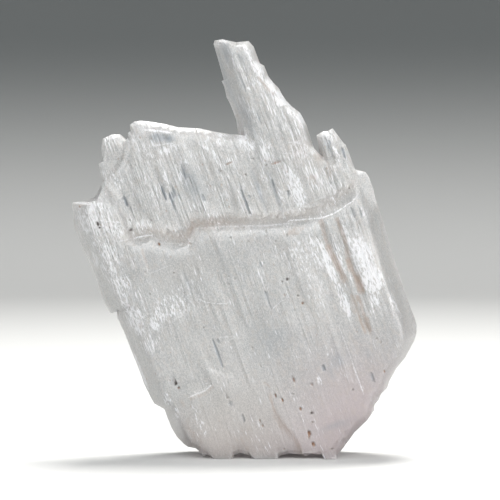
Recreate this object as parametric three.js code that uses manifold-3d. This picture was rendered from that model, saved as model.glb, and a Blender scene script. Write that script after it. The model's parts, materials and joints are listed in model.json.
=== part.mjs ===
// A kunzite crystal: one flat blade, striated along its length, etched and stepped at both ends.
// It stands on the rough lower end, leaning to the left, with its broad face to the front (-Y).
//
// The blade is drawn in its own directions: u runs across the broad face, v runs along the
// crystal's long axis and w comes out of the broad face. All sizes are millimetres.

import * as THREE from 'three';
import { mergeVertices } from 'three/addons/utils/BufferGeometryUtils.js';
import Module from 'manifold-3d';

const wasm = await Module();
wasm.setup();

// ---------------------------------------------------------------- driving sizes
const LEAN = 20;          // degrees that the long axis leans to the left
const BODY_FRONT = 4.4;   // how far the thick lower body comes forward
const BODY_BACK = 4.3;    // how far it goes back
const PLATE_FRONT = 2.9;  // the thinner upper plate
const PLATE_BACK = 2.8;
const SPIKE_FRONT = 3.1;  // the tall spike on the upper plate
const SPIKE_BACK = 2.2;
const SHOULDER_FRONT = 4.15; // the blade along the upper left side
const SHOULDER_BACK = 3.0;
const RIM = 0.8;          // half the thickness of the narrow face along each side
const SIDE_BEVEL = 1.75;  // width of the slanting side faces, seen from the front
const FOOT_CUT = 0.2;     // how much of the feet is worn flat
const FOOT_DEPTH = 3.6;   // the feet reach this far forward and back

// ---------------------------------------------------------------- helpers
const radians = THREE.MathUtils.degToRad;

// A repeatable number between 0 and 1, so that what repeats isn't all alike.
function vary(index, kind) {
  const wave = Math.sin(index * 12.9898 + kind * 78.233) * 43758.5453;
  return wave - Math.floor(wave);
}

function between(low, high, share) {
  return low + (high - low) * share;
}

function toManifold(geometry) {
  geometry.deleteAttribute('normal');
  geometry.deleteAttribute('uv');
  const merged = mergeVertices(geometry, 1e-5);
  return new wasm.Manifold(new wasm.Mesh({
    numProp: 3,
    vertProperties: new Float32Array(merged.attributes.position.array),
    triVerts: new Uint32Array(merged.index.array),
  }));
}

// A closed solid through a stack of rings. Each ring has the same number of [u, v] corners,
// anticlockwise as seen from the front, at its own depth w. A corner can have a depth of its
// own as its third number, so that the last ring may slope.
function stack(rings) {
  const levels = [...rings].sort((a, b) => a.w - b.w);
  const count = levels[0].ring.length;
  const positions = [];
  const index = [];
  for (const { w, ring } of levels) {
    for (const [u, v, depth = w] of ring) positions.push(u, v, depth);
  }
  for (let level = 0; level < levels.length - 1; level += 1) {
    for (let i = 0; i < count; i += 1) {
      const j = (i + 1) % count;
      const a = level * count + i;
      const b = level * count + j;
      index.push(a, b, b + count, a, b + count, a + count);
    }
  }
  for (const front of [false, true]) {
    const level = front ? levels.length - 1 : 0;
    const contour = levels[level].ring.map(([u, v]) => new THREE.Vector2(u, v));
    for (const [a, b, c] of THREE.ShapeUtils.triangulateShape(contour, [])) {
      const area = THREE.ShapeUtils.area([contour[a], contour[b], contour[c]]);
      const corners = (area > 0) === front ? [a, b, c] : [c, b, a];
      index.push(...corners.map((corner) => level * count + corner));
    }
  }
  const geometry = new THREE.BufferGeometry();
  geometry.setAttribute('position', new THREE.Float32BufferAttribute(positions, 3));
  geometry.setIndex(index);
  return toManifold(geometry);
}

// A blade from its outline. Each corner is [u, v, side, end, lip]: how much of the level's side
// bevel, end bevel and lip drop it takes. Each level is { w, side, end, lip }.
function blade(outline, levels) {
  return stack(levels.map(({ w, side = 0, end = 0, lip = 0 }) => ({
    w,
    ring: outline.map(([u, v, sideShare = 0, endShare = 0, drop = 0]) => (
      [u + side * sideShare, v + end * endShare - lip * drop])),
  })));
}

// A lath: a long narrow prism along the blade, wider at its root, with slanting ends. Its
// crest can sink to another depth at its foot or at its head, where it then dies out.
function lath({
  at, width, foot, head, root, crest, footCrest = crest, headCrest = crest,
  bevel = 0.14, slant = 0.3, drift = 0, skew = 0,
}) {
  const ring = (inset, ends, low, high) => [
    [at - width / 2 + inset, foot + ends, low],
    [at + width / 2 - inset, foot + skew + ends, low],
    [at + drift + width / 2 - inset, head - ends, high],
    [at + drift - width / 2 + inset, head + skew - ends, high],
  ];
  const narrower = Math.min(bevel, width * 0.38);
  const shorter = Math.min(slant, (head - foot) * 0.38);
  return stack([
    { w: root, ring: ring(0, 0, root, root) },
    { w: crest, ring: ring(narrower, shorter, footCrest, headCrest) },
  ]);
}

// The depths of a lath's crest at its two ends: it dies out at its foot, at its head or at neither.
function dyingOut(index, kind, surface, crest) {
  const choice = vary(index, kind);
  if (choice < 0.4) return { crest, footCrest: surface };
  if (choice < 0.75) return { crest, headCrest: surface };
  return { crest };
}

// A thin sheet lying on a broad face. Each corner is [u, v, rise above the face], so that the
// sheet tilts, and it ends in a step where it stands above the face.
function sheet(outline, face, inset = 0.16) {
  const outward = Math.sign(face);
  const centre = outline.reduce(([a, b], [u, v]) => [a + u / outline.length, b + v / outline.length], [0, 0]);
  const clockwise = THREE.ShapeUtils.isClockWise(outline.map(([u, v]) => new THREE.Vector2(u, v)));
  const corners = clockwise ? [...outline].reverse() : outline;
  const pull = ([u, v, rise]) => {
    const length = Math.hypot(u - centre[0], v - centre[1]);
    const share = inset / length;
    return [u - (u - centre[0]) * share, v - (v - centre[1]) * share, face + outward * rise];
  };
  const root = face - outward * 0.4;
  return stack([
    { w: root, ring: corners.map(([u, v]) => [u, v]) },
    { w: face, ring: corners.map(pull) },
  ]);
}

// ---------------------------------------------------------------- the outlines
// The lower edge of the crystal from left to right: a broken end with three feet.
const FOOT = [
  [-6.8, 8.4, 0.7, 0.2], [-6.35, 7.9, 0.7, 0.2], [-6.35, 7.0, 0.7, 0.2], [-6.3, 5.7, 0.7, 0.3],
  [-6.1, 4.6, 0.6, 0.5], [-5.7, 3.7, 0.5, 0.7], [-5.35, 3.2, 0.4, 1], [-4.75, 2.95, 0.3, 1],
  [-4.4, 2.5, 0.15, 1], [-4.1, 1.9, 0.1, 1], [-3.75, 2.0, 0.1, 1], [-3.3, 1.7, 0, 1],
  [-2.95, 0.8, 0, 1], [-1.3, 0.25, 0, 1], [-0.9, 0.9, 0, 1], [-0.2, 0.95, 0, 1],
  [0.7, 0.35, 0, 1], [1.15, -0.65, 0, 1], [3.35, -1.4, 0, 1], [3.65, -0.8, 0, 1],
  [4.7, -0.9, 0, 1], [5.9, -1.45, 0, 1], [6.3, -1.8, 0, 1], [6.9, -1.75, 0, 1],
  [7.95, -2.2, 0, 1], [8.1, -3.15, 0, 1], [9.3, -3.6, 0, 1], [9.65, -2.9, -0.1, 1],
  [11.1, -2.05, -0.2, 1], [12.35, -1.2, -0.2, 1], [14.2, -0.45, -0.3, 1], [14.9, 0.05, -0.3, 1],
  [15.1, 0.55, -0.3, 1], [15.8, 1.0, -0.4, 1], [16.2, 1.45, -0.4, 1], [17.0, 1.8, -0.5, 1],
  [17.5, 2.45, -0.5, 1], [18.65, 3.45, -0.6, 0.9], [19.9, 4.2, -0.7, 0.9], [21.35, 5.5, -0.8, 0.8],
  [21.95, 6.25, -0.9, 0.6], [22.3, 7.1, -1, 0.4],
];
// The right side, going up.
const RIGHT_SIDE = [
  [22.35, 7.9, -1], [22.3, 10.6, -1], [22.45, 14.0, -1], [22.6, 16.9, -1], [22.75, 20.0, -1],
];
// The left side of the lower body, going down.
const LEFT_SIDE = [
  [-7.7, 18.85, 1], [-7.55, 17.2, 1], [-7.5, 14.6, 1], [-7.45, 12.9, 1], [-7.45, 11.1, 1],
  [-7.3, 9.7, 0.9], [-7.15, 8.8, 0.8],
];

// The growth ledge across the front, from right to left: the top of its slope, and how far
// below that the bright lip of the thick body lies.
const FRONT_LEDGE = [
  [22.8, 21.8, -1], [22.5, 23.3, -0.8, 0, 0.6],
  [21.3, 24.5, 0, 0, 1.5], [19.6, 23.9, 0, 0, 1.6], [18.0, 23.7, 0, 0, 1.7], [16.3, 23.2, 0, 0, 1.6],
  [14.8, 22.8, 0, 0, 1.1], [13.2, 23.0, 0, 0, 0.8], [10.9, 23.7, 0, 0, 0.9], [9.2, 24.4, 0, 0, 1.0],
  [7.6, 25.0, 0, 0, 1.0], [5.9, 25.5, 0, 0, 0.9], [4.2, 25.7, 0, 0, 0.5], [3.4, 25.6, 0, 0, 0.4],
  [2.4, 24.6, 0, 0, 0.7], [1.0, 25.0, 0, 0, 0.6], [-0.5, 25.6, 0, 0, 0.5], [-1.0, 26.4, 0, 0, 0.3],
  [-2.3, 26.5, 0, 0, 0.3], [-3.5, 26.7, 0, 0, 0.3], [-4.4, 26.4, 0.2, 0, 0.3],
  [-5.6, 23.4, 0.7], [-7.0, 20.6, 1],
];
// The ledge across the back, lower and curved the other way.
const BACK_LEDGE = [
  [22.7, 21.3, -1], [20.0, 20.7, -0.1, 0, 1.2], [17.9, 19.4, 0, 0, 1.2], [14.6, 18.9, 0, 0, 1.0],
  [14.0, 20.1, 0, 0, 0.7], [10.3, 20.6, 0, 0, 0.8], [6.9, 22.3, 0, 0, 0.9], [6.4, 24.0, 0, 0, 0.9],
  [2.0, 24.9, 0, 0, 1.0], [-2.6, 24.2, 0, 0, 0.9], [-5.2, 22.7, 0.4, 0, 0.6], [-7.2, 20.4, 1],
];

// The thin upper plate, with the long slanting edge at its top left.
const PLATE = [
  [-5.8, 13.0, 1], [21.0, 13.0, -1], [22.3, 19.0, -1], [22.85, 22.4, -1], [22.85, 23.9, -1, -0.2],
  [22.7, 24.5, -1, -0.6], [21.8, 25.1, -0.6, -0.8], [21.2, 26.6, -0.4, -0.8], [18.9, 27.7, 0, -0.8],
  [18.3, 29.0, 0, -0.8], [15.0, 31.2, 0, -0.8], [11.1, 33.0, 0, -0.9], [10.4, 33.3, 0, -1],
  [8.95, 34.1, 0, -1], [7.6, 34.95, 0, -1], [5.4, 35.9, 0, -1], [4.4, 36.6, 0, -1],
  [2.75, 37.55, 0, -1], [1.85, 37.95, 0, -1], [1.3, 38.05, 0.2, -1], [0.75, 37.9, 0.4, -1],
  [0.55, 37.25, 0.4, -0.9], [0.25, 37.15, 0.4, -0.9], [0.1, 36.7, 0.4, -0.9], [-0.25, 36.5, 0.3, -0.8],
  [-1.2, 34.7, 0.3, -0.6], [-3.0, 33.5, 0.3, -0.6], [-4.1, 33.15, 0.4, -0.6], [-4.4, 32.9, 0.4, -0.6],
  [-5.0, 32.3, 0.4, -0.6], [-5.7, 31.6, 0.6, -0.6], [-6.0, 28.0, 1], [-6.2, 22.0, 1],
];

// The tall spike, with a smooth slanting face on its left and an etched one on its right.
const SPIKE = [
  [11.4, 23.5, 1], [18.0, 23.5, -0.3], [18.45, 28.3, -0.3], [18.4, 29.6, -0.3], [18.5, 31.35, -0.3],
  [18.4, 32.3, -0.3], [18.3, 32.9, -0.3], [17.65, 33.9, -0.3], [17.35, 34.6, -0.3], [17.15, 35.4, -0.35],
  [17.05, 36.15, -0.3], [16.7, 36.9, -0.3], [16.45, 37.7, -0.3], [16.4, 38.95, -0.3], [16.05, 39.35, -0.25],
  [16.05, 40.2, -0.3], [16.05, 41.25, -0.3, -0.35], [15.75, 42.0, -0.3, -0.5], [14.4, 42.35, -0.1, -0.5],
  [13.15, 43.15, 0.2, -0.5], [12.35, 43.3, 0.6, -0.55], [12.1, 43.0, 0.8, -0.55], [12.0, 41.6, 1, -0.3],
  [11.9, 40.2, 1], [11.8, 39.0, 1], [11.55, 38.95, 1], [11.6, 38.25, 1], [11.45, 37.1, 1],
  [11.55, 36.5, 1], [11.6, 35.5, 1], [11.6, 34.55, 1], [11.45, 33.8, 1], [11.2, 32.6, 1],
];

// The short prong right of the spike, and the broken one at the top left.
const PRONG_RIGHT = [
  [18.85, 23.5, 1], [21.75, 23.5, -1], [21.75, 27.3, -1], [21.7, 28.0, -1], [21.55, 28.3, -1],
  [21.2, 29.45, -1, -0.5], [21.0, 30.1, -1, -1], [20.4, 30.0, 0, -1], [19.95, 30.15, 0, -1],
  [19.15, 30.0, 1, -1], [18.85, 28.3, 1],
];
const PRONG_LEFT = [
  [-4.3, 28.0, 1], [0.4, 28.0, 0], [0.3, 34.0, -0.2], [-0.3, 36.6, -0.6, -0.5], [-0.65, 37.3, -0.8, -1],
  [-1.55, 37.6, -0.2, -1], [-2.5, 37.5, 0.5, -1], [-3.0, 36.65, 1, -0.6], [-3.3, 35.5, 1],
  [-3.5, 35.3, 1], [-3.9, 35.1, 1], [-4.0, 34.35, 1], [-4.1, 33.15, 1],
];

// The blade along the upper left side, which ends in a flat step at its top.
const SHOULDER = [
  [-8.2, 19.55, 1], [-7.6, 19.75, 1], [-6.8, 19.4, 0.9], [-3.4, 19.0], [-3.4, 30.5], [-4.4, 32.7, 0, -0.6],
  [-5.7, 31.85, 0.2, -0.6], [-6.7, 31.95, 0.5, -0.6], [-8.0, 32.15, 0.8, -0.6], [-8.15, 31.8, 0.9, -0.6],
  [-8.4, 30.8, 1], [-8.7, 29.65, 1], [-8.7, 27.6, 1], [-8.5, 26.1, 1], [-8.45, 25.1, 1],
  [-8.4, 23.6, 1], [-8.5, 22.7, 1], [-8.45, 21.0, 1],
];

// ---------------------------------------------------------------- the main blades
const frontBody = blade([...FOOT, ...RIGHT_SIDE, ...FRONT_LEDGE, ...LEFT_SIDE], [
  { w: -1.0 },
  { w: RIM },
  { w: PLATE_FRONT - 0.4, side: SIDE_BEVEL * 0.5 },
  { w: FOOT_DEPTH, side: SIDE_BEVEL * 0.78, lip: 0.55 },
  { w: BODY_FRONT, side: SIDE_BEVEL, end: 0.5, lip: 1 },
]);
const backBody = blade([...FOOT, ...RIGHT_SIDE, ...BACK_LEDGE, ...LEFT_SIDE], [
  { w: 0.6 },
  { w: -RIM },
  { w: -(PLATE_BACK - 0.4), side: SIDE_BEVEL * 0.55 },
  { w: -FOOT_DEPTH, side: SIDE_BEVEL * 0.95, lip: 0.55 },
  { w: -BODY_BACK, side: SIDE_BEVEL * 1.25, end: 0.6, lip: 1 },
]);
const plate = blade(PLATE, [
  { w: -PLATE_BACK, side: 0.9, end: 1.0 },
  { w: -(PLATE_BACK - 0.9) },
  { w: PLATE_FRONT - 0.75 },
  { w: PLATE_FRONT, side: 0.9, end: 0.75 },
]);
const spike = blade(SPIKE, [
  { w: -SPIKE_BACK, side: 1.3, end: 0.8 },
  { w: -0.5 },
  { w: 0.3 },
  { w: SPIKE_FRONT, side: 1.6, end: 0.9 },
]);
const prongRight = blade(PRONG_RIGHT, [
  { w: -1.5, side: 0.45, end: 0.4 },
  { w: -0.7 },
  { w: 1.5 },
  { w: 2.2, side: 0.45, end: 0.5 },
]);
const prongLeft = blade(PRONG_LEFT, [
  { w: -2.0, side: 0.5, end: 0.5 },
  { w: -1.0 },
  { w: 1.7 },
  { w: 2.4, side: 0.5, end: 0.5 },
]);
const shoulder = blade(SHOULDER, [
  { w: -SHOULDER_BACK, side: 1.6, end: 0.5 },
  { w: -0.6 },
  { w: 0.9 },
  { w: SHOULDER_FRONT, side: SIDE_BEVEL, end: 0.6 },
]);

const raised = [frontBody, backBody, plate, spike, prongRight, prongLeft, shoulder];
const cuts = [];

// ---------------------------------------------------------------- relief on the front
// Thin sheets on the broad face of the body. They tilt a little, so each ends in a low step on
// one side and runs out into the face on the other.
const FRONT_SHEETS = [
  [[-5.1, 22.85, 0.04], [-2.8, 22.3, 0.2], [-2.55, 23.0, 0.2], [-2.5, 25.0, 0.16], [-2.2, 25.9, 0.08],
    [-4.3, 25.9, 0.04]],
  [[1.3, 18.0, 0.1], [1.9, 17.4, 0.18], [3.1, 16.8, 0.18], [3.9, 16.5, 0.12], [4.3, 20.0, -0.04],
    [4.0, 22.6, -0.06], [2.4, 22.8, -0.06], [1.1, 20.4, -0.04]],
  [[4.9, 14.6, 0.1], [8.2, 14.2, 0.12], [8.25, 16.4, 0.08], [9.5, 22.2, -0.05], [7.6, 23.4, 0.04], [5.0, 23.8, 0.14]],
  [[11.9, 7.0, 0.02], [13.4, 9.6, 0.04], [14.6, 10.0, -0.05], [14.8, 21.0, -0.05],
    [12.9, 21.6, 0.05], [12.1, 21.0, 0.16], [11.9, 14.0, 0.1]],
  [[18.25, 12.1, 0.24], [20.7, 12.3, 0.1], [20.75, 15.7, 0.08], [20.6, 18.0, 0.04], [19.6, 21.4, -0.05],
    [18.4, 21.0, 0.2]],
  [[-0.6, 8.85, 0.2], [-1.4, 8.55, 0.2], [-3.1, 8.4, 0.18], [-4.4, 5.4, -0.03], [-2.7, 3.0, -0.03],
    [3.2, 0.2, 0.03], [5.0, -0.2, -0.02], [4.6, 6.6, -0.05], [1.1, 9.8, 0.02], [-0.5, 11.0, 0.14]],
  [[5.0, 5.6, 0.02], [4.85, 3.2, 0.08], [5.2, 2.0, 0.12], [5.9, 0.0, 0.16], [6.0, -1.4, 0.18], [8.9, -2.2, 0.05],
    [13.4, 0.8, -0.05], [16.0, 3.2, -0.1], [13.0, 4.6, -0.05], [8.0, 6.4, -0.05]],
];
for (const corners of FRONT_SHEETS) raised.push(sheet(corners, BODY_FRONT));

// Long laths on the body, between the broken end and the ledge.
const BODY_LATHS = 30;
for (let i = 0; i < BODY_LATHS; i += 1) {
  const at = between(-5.2, 20.0, (i + 0.25 + 0.5 * vary(i, 1)) / BODY_LATHS);
  const lowest = at < 2 ? 4.5 - at * 1.1 : 1.5 + Math.max(0, at - 12) * 0.75;
  const highest = at < -3 ? 19 + (at + 5.2) * 2 : 21.5;
  const foot = between(lowest, highest - 6, vary(i, 2));
  raised.push(lath({
    at,
    width: between(0.3, 0.75, vary(i, 3) ** 2),
    foot,
    head: between(foot + 3, highest, vary(i, 4)),
    root: BODY_FRONT - 0.3,
    ...dyingOut(i, 9, BODY_FRONT - 0.05, BODY_FRONT + between(0.08, 0.24, vary(i, 5))),
    bevel: 0.11,
    slant: between(0.2, 0.9, vary(i, 6)),
    skew: between(-0.25, 0.25, vary(i, 7)),
    drift: between(-0.15, 0.2, vary(i, 8)),
  }));
}

// The etched cluster on the left of the body: short upright ribs above a ragged step.
const CLUSTER_RIBS = 13;
for (let i = 0; i < CLUSTER_RIBS; i += 1) {
  const at = between(-5.4, 2.6, (i + 0.4 * vary(i, 11)) / (CLUSTER_RIBS - 0.6));
  const foot = 15.9 - 0.05 * (at + 5.4) + between(-0.7, 0.9, vary(i, 12));
  raised.push(lath({
    at,
    width: between(0.28, 0.5, vary(i, 13)),
    foot,
    head: foot + between(1.2, 3.4, vary(i, 14)),
    root: BODY_FRONT - 0.3,
    crest: BODY_FRONT + between(0.12, 0.28, vary(i, 15)),
    slant: 0.25,
    skew: between(-0.3, 0.3, vary(i, 16)),
  }));
}

// Strong laths on the shoulder blade, and their ends down across its lower part.
const SHOULDER_LATHS = 8;
for (let i = 0; i < SHOULDER_LATHS; i += 1) {
  const at = between(-6.6, -3.7, (i + 0.3 * vary(i, 21)) / (SHOULDER_LATHS - 0.7));
  raised.push(lath({
    at,
    width: between(0.26, 0.46, vary(i, 22)),
    foot: between(20.5, 25.5, vary(i, 23)),
    head: 31.4 - between(0, 2.6, vary(i, 24) ** 2),
    root: SHOULDER_FRONT - 0.35,
    crest: SHOULDER_FRONT + between(0.1, 0.26, vary(i, 25)),
    slant: between(0.1, 0.5, vary(i, 26)),
  }));
}

// The top edge of the plate, from left to right, which its laths stop short of.
function plateTop(u) {
  const edge = [[-4.2, 33.0], [-1.2, 34.6], [0.2, 36.6], [1.3, 38.0], [5.4, 35.9], [10.4, 33.3], [15.0, 31.2],
    [18.3, 29.0], [22.8, 24.5]];
  const next = Math.max(1, edge.findIndex(([at]) => at >= u));
  const [[u0, v0], [u1, v1]] = [edge[next - 1], edge[next]];
  return between(v0, v1, (u - u0) / (u1 - u0));
}

// Narrow laths side by side over the plate, rising from the ledge.
const PLATE_LATHS = 33;
for (let i = 0; i < PLATE_LATHS; i += 1) {
  const at = between(-3.0, 17.6, (i + 0.4 * vary(i, 31)) / (PLATE_LATHS - 0.6));
  raised.push(lath({
    at,
    width: between(0.3, 0.75, vary(i, 32)),
    foot: between(22.4, 24.8, vary(i, 33)),
    head: Math.max(27.2, plateTop(at) - 1.1 - between(0, 4.5, vary(i, 34) ** 1.6)),
    root: PLATE_FRONT - 0.4,
    ...dyingOut(i, 39, PLATE_FRONT - 0.05, PLATE_FRONT + between(0.08, 0.26, vary(i, 35))),
    bevel: 0.12,
    slant: between(0.2, 1.0, vary(i, 36)),
    skew: between(-0.3, 0.3, vary(i, 37)),
    drift: between(-0.2, 0.15, vary(i, 38)),
  }));
}
// A wide low rib at the right end of the plate, under the short prong.
raised.push(lath({ at: 19.9, width: 2.2, foot: 21.5, head: 27.6, root: 2.0, crest: 3.1, bevel: 0.4, slant: 1.2 }));
raised.push(lath({ at: 20.4, width: 0.7, foot: 21.5, head: 29.0, root: 1.5, crest: 2.6, bevel: 0.2, slant: 0.5 }));
raised.push(lath({ at: 19.5, width: 0.5, foot: 22.5, head: 29.4, root: 1.5, crest: 2.5, bevel: 0.15, slant: 0.4 }));

// Laths up the spike: its front, and the etched steps down its right slope.
const SPIKE_LATHS = [
  { at: 13.9, width: 0.7, foot: 26, head: 40.6, crest: 0.16 },
  { at: 14.6, width: 0.5, foot: 28, head: 41.2, crest: 0.22 },
  { at: 15.2, width: 0.8, foot: 25, head: 36.8, crest: 0.14 },
  { at: 16.0, width: 0.6, foot: 27, head: 34.1, crest: 0.22 },
  { at: 16.7, width: 0.6, foot: 25, head: 31.5, crest: 0.16 },
  { at: 12.9, width: 0.4, foot: 24, head: 33.0, crest: 0.12 },
];
for (const { at, width, foot, head, crest } of SPIKE_LATHS) {
  raised.push(lath({ at, width, foot, head, root: SPIKE_FRONT - 0.5, crest: SPIKE_FRONT + crest, slant: 0.6 }));
}
const SPIKE_STEPS = 7;
for (let i = 0; i < SPIKE_STEPS; i += 1) {
  const head = between(32.0, 39.8, i / (SPIKE_STEPS - 1));
  const edge = head < 35 ? 18.2 - (head - 32) * 0.33 : 17.2 - (head - 35) * 0.24;
  raised.push(lath({
    at: edge - between(0.8, 1.3, vary(i, 41)),
    width: between(0.35, 0.6, vary(i, 42)),
    foot: head - between(2.0, 4.5, vary(i, 43)),
    head: head - 0.2,
    root: 1.8,
    crest: between(2.9, 3.3, vary(i, 44)),
    bevel: 0.2,
    slant: 0.25,
    skew: between(-0.3, 0.1, vary(i, 45)),
  }));
}

// Grooves along the blade in the front: [u, foot, head, width, depth].
const FRONT_GROOVES = [
  [16.35, 14.4, 21.3, 0.75, 0.28], [17.95, 12.6, 20.9, 0.6, 0.28], [17.45, 10.3, 12.8, 0.25, 0.15],
  [17.1, 8.1, 10.05, 0.85, 0.25], [15.5, 10.5, 19.8, 0.35, 0.15], [1.28, 10.1, 13.4, 0.22, 0.3],
  [1.75, 12.7, 13.35, 0.2, 0.25], [-2.4, 11.2, 15.2, 0.3, 0.15], [4.35, 13.6, 20.6, 0.3, 0.15],
  [12.1, 10.6, 13.6, 0.3, 0.15], [-4.9, 10.8, 15.0, 0.3, 0.15], [0.8, 18.9, 21.4, 0.4, 0.15],
  [14.4, 2.6, 5.6, 0.2, 0.12], [8.23, 14.2, 16.4, 0.16, 0.15],
];
for (const [at, foot, head, width, depth] of FRONT_GROOVES) {
  cuts.push(lath({ at, width, foot, head, root: BODY_FRONT + 1, crest: BODY_FRONT - depth, bevel: width * 0.35 }));
}
const PLATE_GROOVES = [
  [1.65, 28.9, 30.8, 0.26, 0.4], [2.2, 28.2, 29.8, 0.24, 0.35], [2.7, 28.9, 30.0, 0.24, 0.35],
  [4.4, 30.2, 31.7, 0.34, 0.35], [5.5, 27.4, 28.4, 0.26, 0.3], [-2.45, 29.0, 31.0, 0.3, 0.4],
  [9.55, 24.4, 27.5, 0.22, 0.35], [12.95, 25.0, 27.4, 0.28, 0.3], [14.2, 24.9, 25.7, 0.26, 0.35],
  [11.3, 24.6, 28.6, 0.24, 0.25], [3.75, 34.9, 35.9, 1.1, 0.35],
];
for (const [at, foot, head, width, depth] of PLATE_GROOVES) {
  cuts.push(lath({ at, width, foot, head, root: PLATE_FRONT + 1, crest: PLATE_FRONT - depth, bevel: width * 0.35 }));
}

// Etch pits: [u, v, length].
const FRONT_PITS = [
  [-4.05, 10.3, 0.36], [-3.9, 9.7, 0.3], [7.5, 0.35, 0.55], [7.5, -0.75, 0.5], [7.9, 6.4, 0.6], [11.35, 6.45, 0.6],
  [10.9, 16.7, 0.32], [-0.65, 24.5, 0.3], [8.5, 2.4, 0.3], [15.9, 3.75, 0.8], [13.47, 3.25, 0.26], [5.55, 5.3, 0.3],
  [0.66, 6.3, 0.5], [10.35, 16.65, 0.24], [11.4, 14.7, 0.26],
];
for (const [at, v, length] of FRONT_PITS) {
  cuts.push(lath({
    at, width: 0.3, foot: v - length / 2, head: v + length / 2, root: BODY_FRONT + 0.7, crest: BODY_FRONT - 0.3,
    bevel: 0.11, slant: 0.11,
  }));
}

// ---------------------------------------------------------------- relief on the back
const BACK_SHEETS = [
  [[-4.2, 10.4, 0.1], [-1.4, 7.6, 0.3], [0.4, 8.8, 0.4], [0.6, 21.2, 0.35], [-1.6, 22.7, 0.1], [-4.6, 20.6, -0.05]],
  [[2.0, 2.4, 0.3], [6.4, 1.6, -0.05], [7.0, 13.2, -0.05], [5.2, 14.6, 0.2], [2.4, 13.8, 0.3]],
  [[8.4, 4.4, -0.05], [12.2, 3.4, 0.2], [15.6, 6.4, 0.4], [15.2, 15.8, 0.4], [11.6, 17.2, 0.2], [8.6, 16.0, -0.05]],
  [[16.6, 8.6, 0.25], [18.8, 9.6, -0.05], [19.2, 17.6, -0.05], [16.9, 16.9, 0.3]],
];
for (const corners of BACK_SHEETS) raised.push(sheet(corners, -BODY_BACK));
const BACK_LATHS = 23;
for (let i = 0; i < BACK_LATHS; i += 1) {
  const at = between(-4.6, 19.4, (i + 0.25 + 0.5 * vary(i, 51)) / BACK_LATHS);
  const lowest = at < 2 ? 5.5 - at * 1.0 : 3.0 + Math.max(0, at - 12) * 0.8;
  const highest = at > 11 ? 17.2 : 20.4;
  const foot = between(lowest, highest - 5, vary(i, 52));
  raised.push(lath({
    at,
    width: between(0.35, 1.0, vary(i, 53) ** 2),
    foot,
    head: between(foot + 3, highest, vary(i, 54)),
    root: -BODY_BACK + 0.3,
    ...dyingOut(i, 58, -BODY_BACK + 0.05, -BODY_BACK - between(0.15, 0.5, vary(i, 55))),
    slant: between(0.2, 0.9, vary(i, 56)),
    skew: between(-0.25, 0.25, vary(i, 57)),
  }));
}
const PLATE_BACK_LATHS = 22;
for (let i = 0; i < PLATE_BACK_LATHS; i += 1) {
  const at = between(-3.2, 19.0, (i + 0.4 * vary(i, 61)) / (PLATE_BACK_LATHS - 0.6));
  raised.push(lath({
    at,
    width: between(0.5, 1.1, vary(i, 62)),
    foot: between(18.5, 21.5, vary(i, 63)),
    head: Math.max(25.5, plateTop(at) - 1.4 - between(0, 5.0, vary(i, 64) ** 1.4)),
    root: -PLATE_BACK + 0.4,
    ...dyingOut(i, 68, -PLATE_BACK + 0.05, -PLATE_BACK - between(0.12, 0.5, vary(i, 65))),
    slant: between(0.3, 1.1, vary(i, 66)),
    skew: between(-0.3, 0.3, vary(i, 67)),
  }));
}
for (const [at, head, crest] of [[13.6, 41.0, 0.3], [14.8, 38.4, 0.4], [15.8, 35.2, 0.25], [16.8, 31.6, 0.35]]) {
  raised.push(lath({
    at, width: 0.8, foot: 24, head, root: -SPIKE_BACK + 0.4, crest: -SPIKE_BACK - crest, bevel: 0.2, slant: 0.7,
  }));
}
const BACK_GROOVES = [
  [1.4, 4.8, 15.6, 0.6, 0.4], [7.8, 3.6, 14.8, 0.6, 0.5], [16.1, 7.6, 15.2, 0.5, 0.45], [12.6, 22.4, 29.0, 0.5, -1.0],
  [3.6, 25.8, 33.0, 0.5, -1.0], [-3.0, 9.4, 17.6, 0.4, 0.2],
];
for (const [at, foot, head, width, depth] of BACK_GROOVES) {
  cuts.push(lath({
    at, width, foot, head, root: -BODY_BACK - 1, crest: -BODY_BACK + (depth < 0 ? 1 - depth : depth),
    bevel: width * 0.35,
  }));
}
for (const [at, v, length] of [[4.0, 9.0, 0.8], [10.8, 12.0, 0.7], [-0.6, 14.0, 0.6], [13.6, 7.4, 0.9], [5.4, 19.4, 0.7]]) {
  cuts.push(lath({
    at, width: 0.5, foot: v - length / 2, head: v + length / 2, root: -BODY_BACK - 0.7, crest: -BODY_BACK + 0.35,
    bevel: 0.15, slant: 0.2,
  }));
}

// ---------------------------------------------------------------- the broken lower end
// Bites out of the lower end, so that each foot touches the ground over its own part of the
// depth: [u, width, w from, w to, how far up].
const FOOT_BITES = [
  [-2.1, 2.6, -4.6, -1.6, 1.6], [2.2, 1.2, 2.7, 5.0, -0.5], [8.8, 1.7, 2.9, 5.0, -2.7], [4.9, 2.6, -5.0, -2.2, 0.2],
  [-4.2, 1.1, 2.7, 5.0, 2.6], [6.4, 1.0, 1.4, 3.4, -1.2], [12.0, 2.0, -5.0, -1.0, 0.1], [15.6, 1.2, 2.9, 5.0, 1.5],
  [-0.5, 1.2, -1.4, 1.8, 1.2], [11.0, 0.9, 3.1, 5.0, -1.6], [17.6, 1.6, -5.0, -2.0, 3.6],
];
for (const [at, width, from, to, top] of FOOT_BITES) {
  const deep = (to - from) * 0.22;
  cuts.push(stack([
    { w: from, ring: [[at - width * 0.35, top - 5], [at + width * 0.35, top - 5], [at + width * 0.25, top - 0.5],
      [at - width * 0.3, top - 0.2]] },
    { w: from + deep, ring: [[at - width / 2, top - 5], [at + width / 2, top - 5], [at + width * 0.4, top - 0.3],
      [at - width * 0.4, top]] },
    { w: to, ring: [[at - width * 0.4, top - 5], [at + width * 0.45, top - 5], [at + width * 0.3, top - 0.6],
      [at - width * 0.3, top - 0.4]] },
  ]));
}

let crystal = raised[0];
for (const piece of raised.slice(1)) crystal = crystal.add(piece);
for (const piece of cuts) crystal = crystal.subtract(piece);

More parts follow.
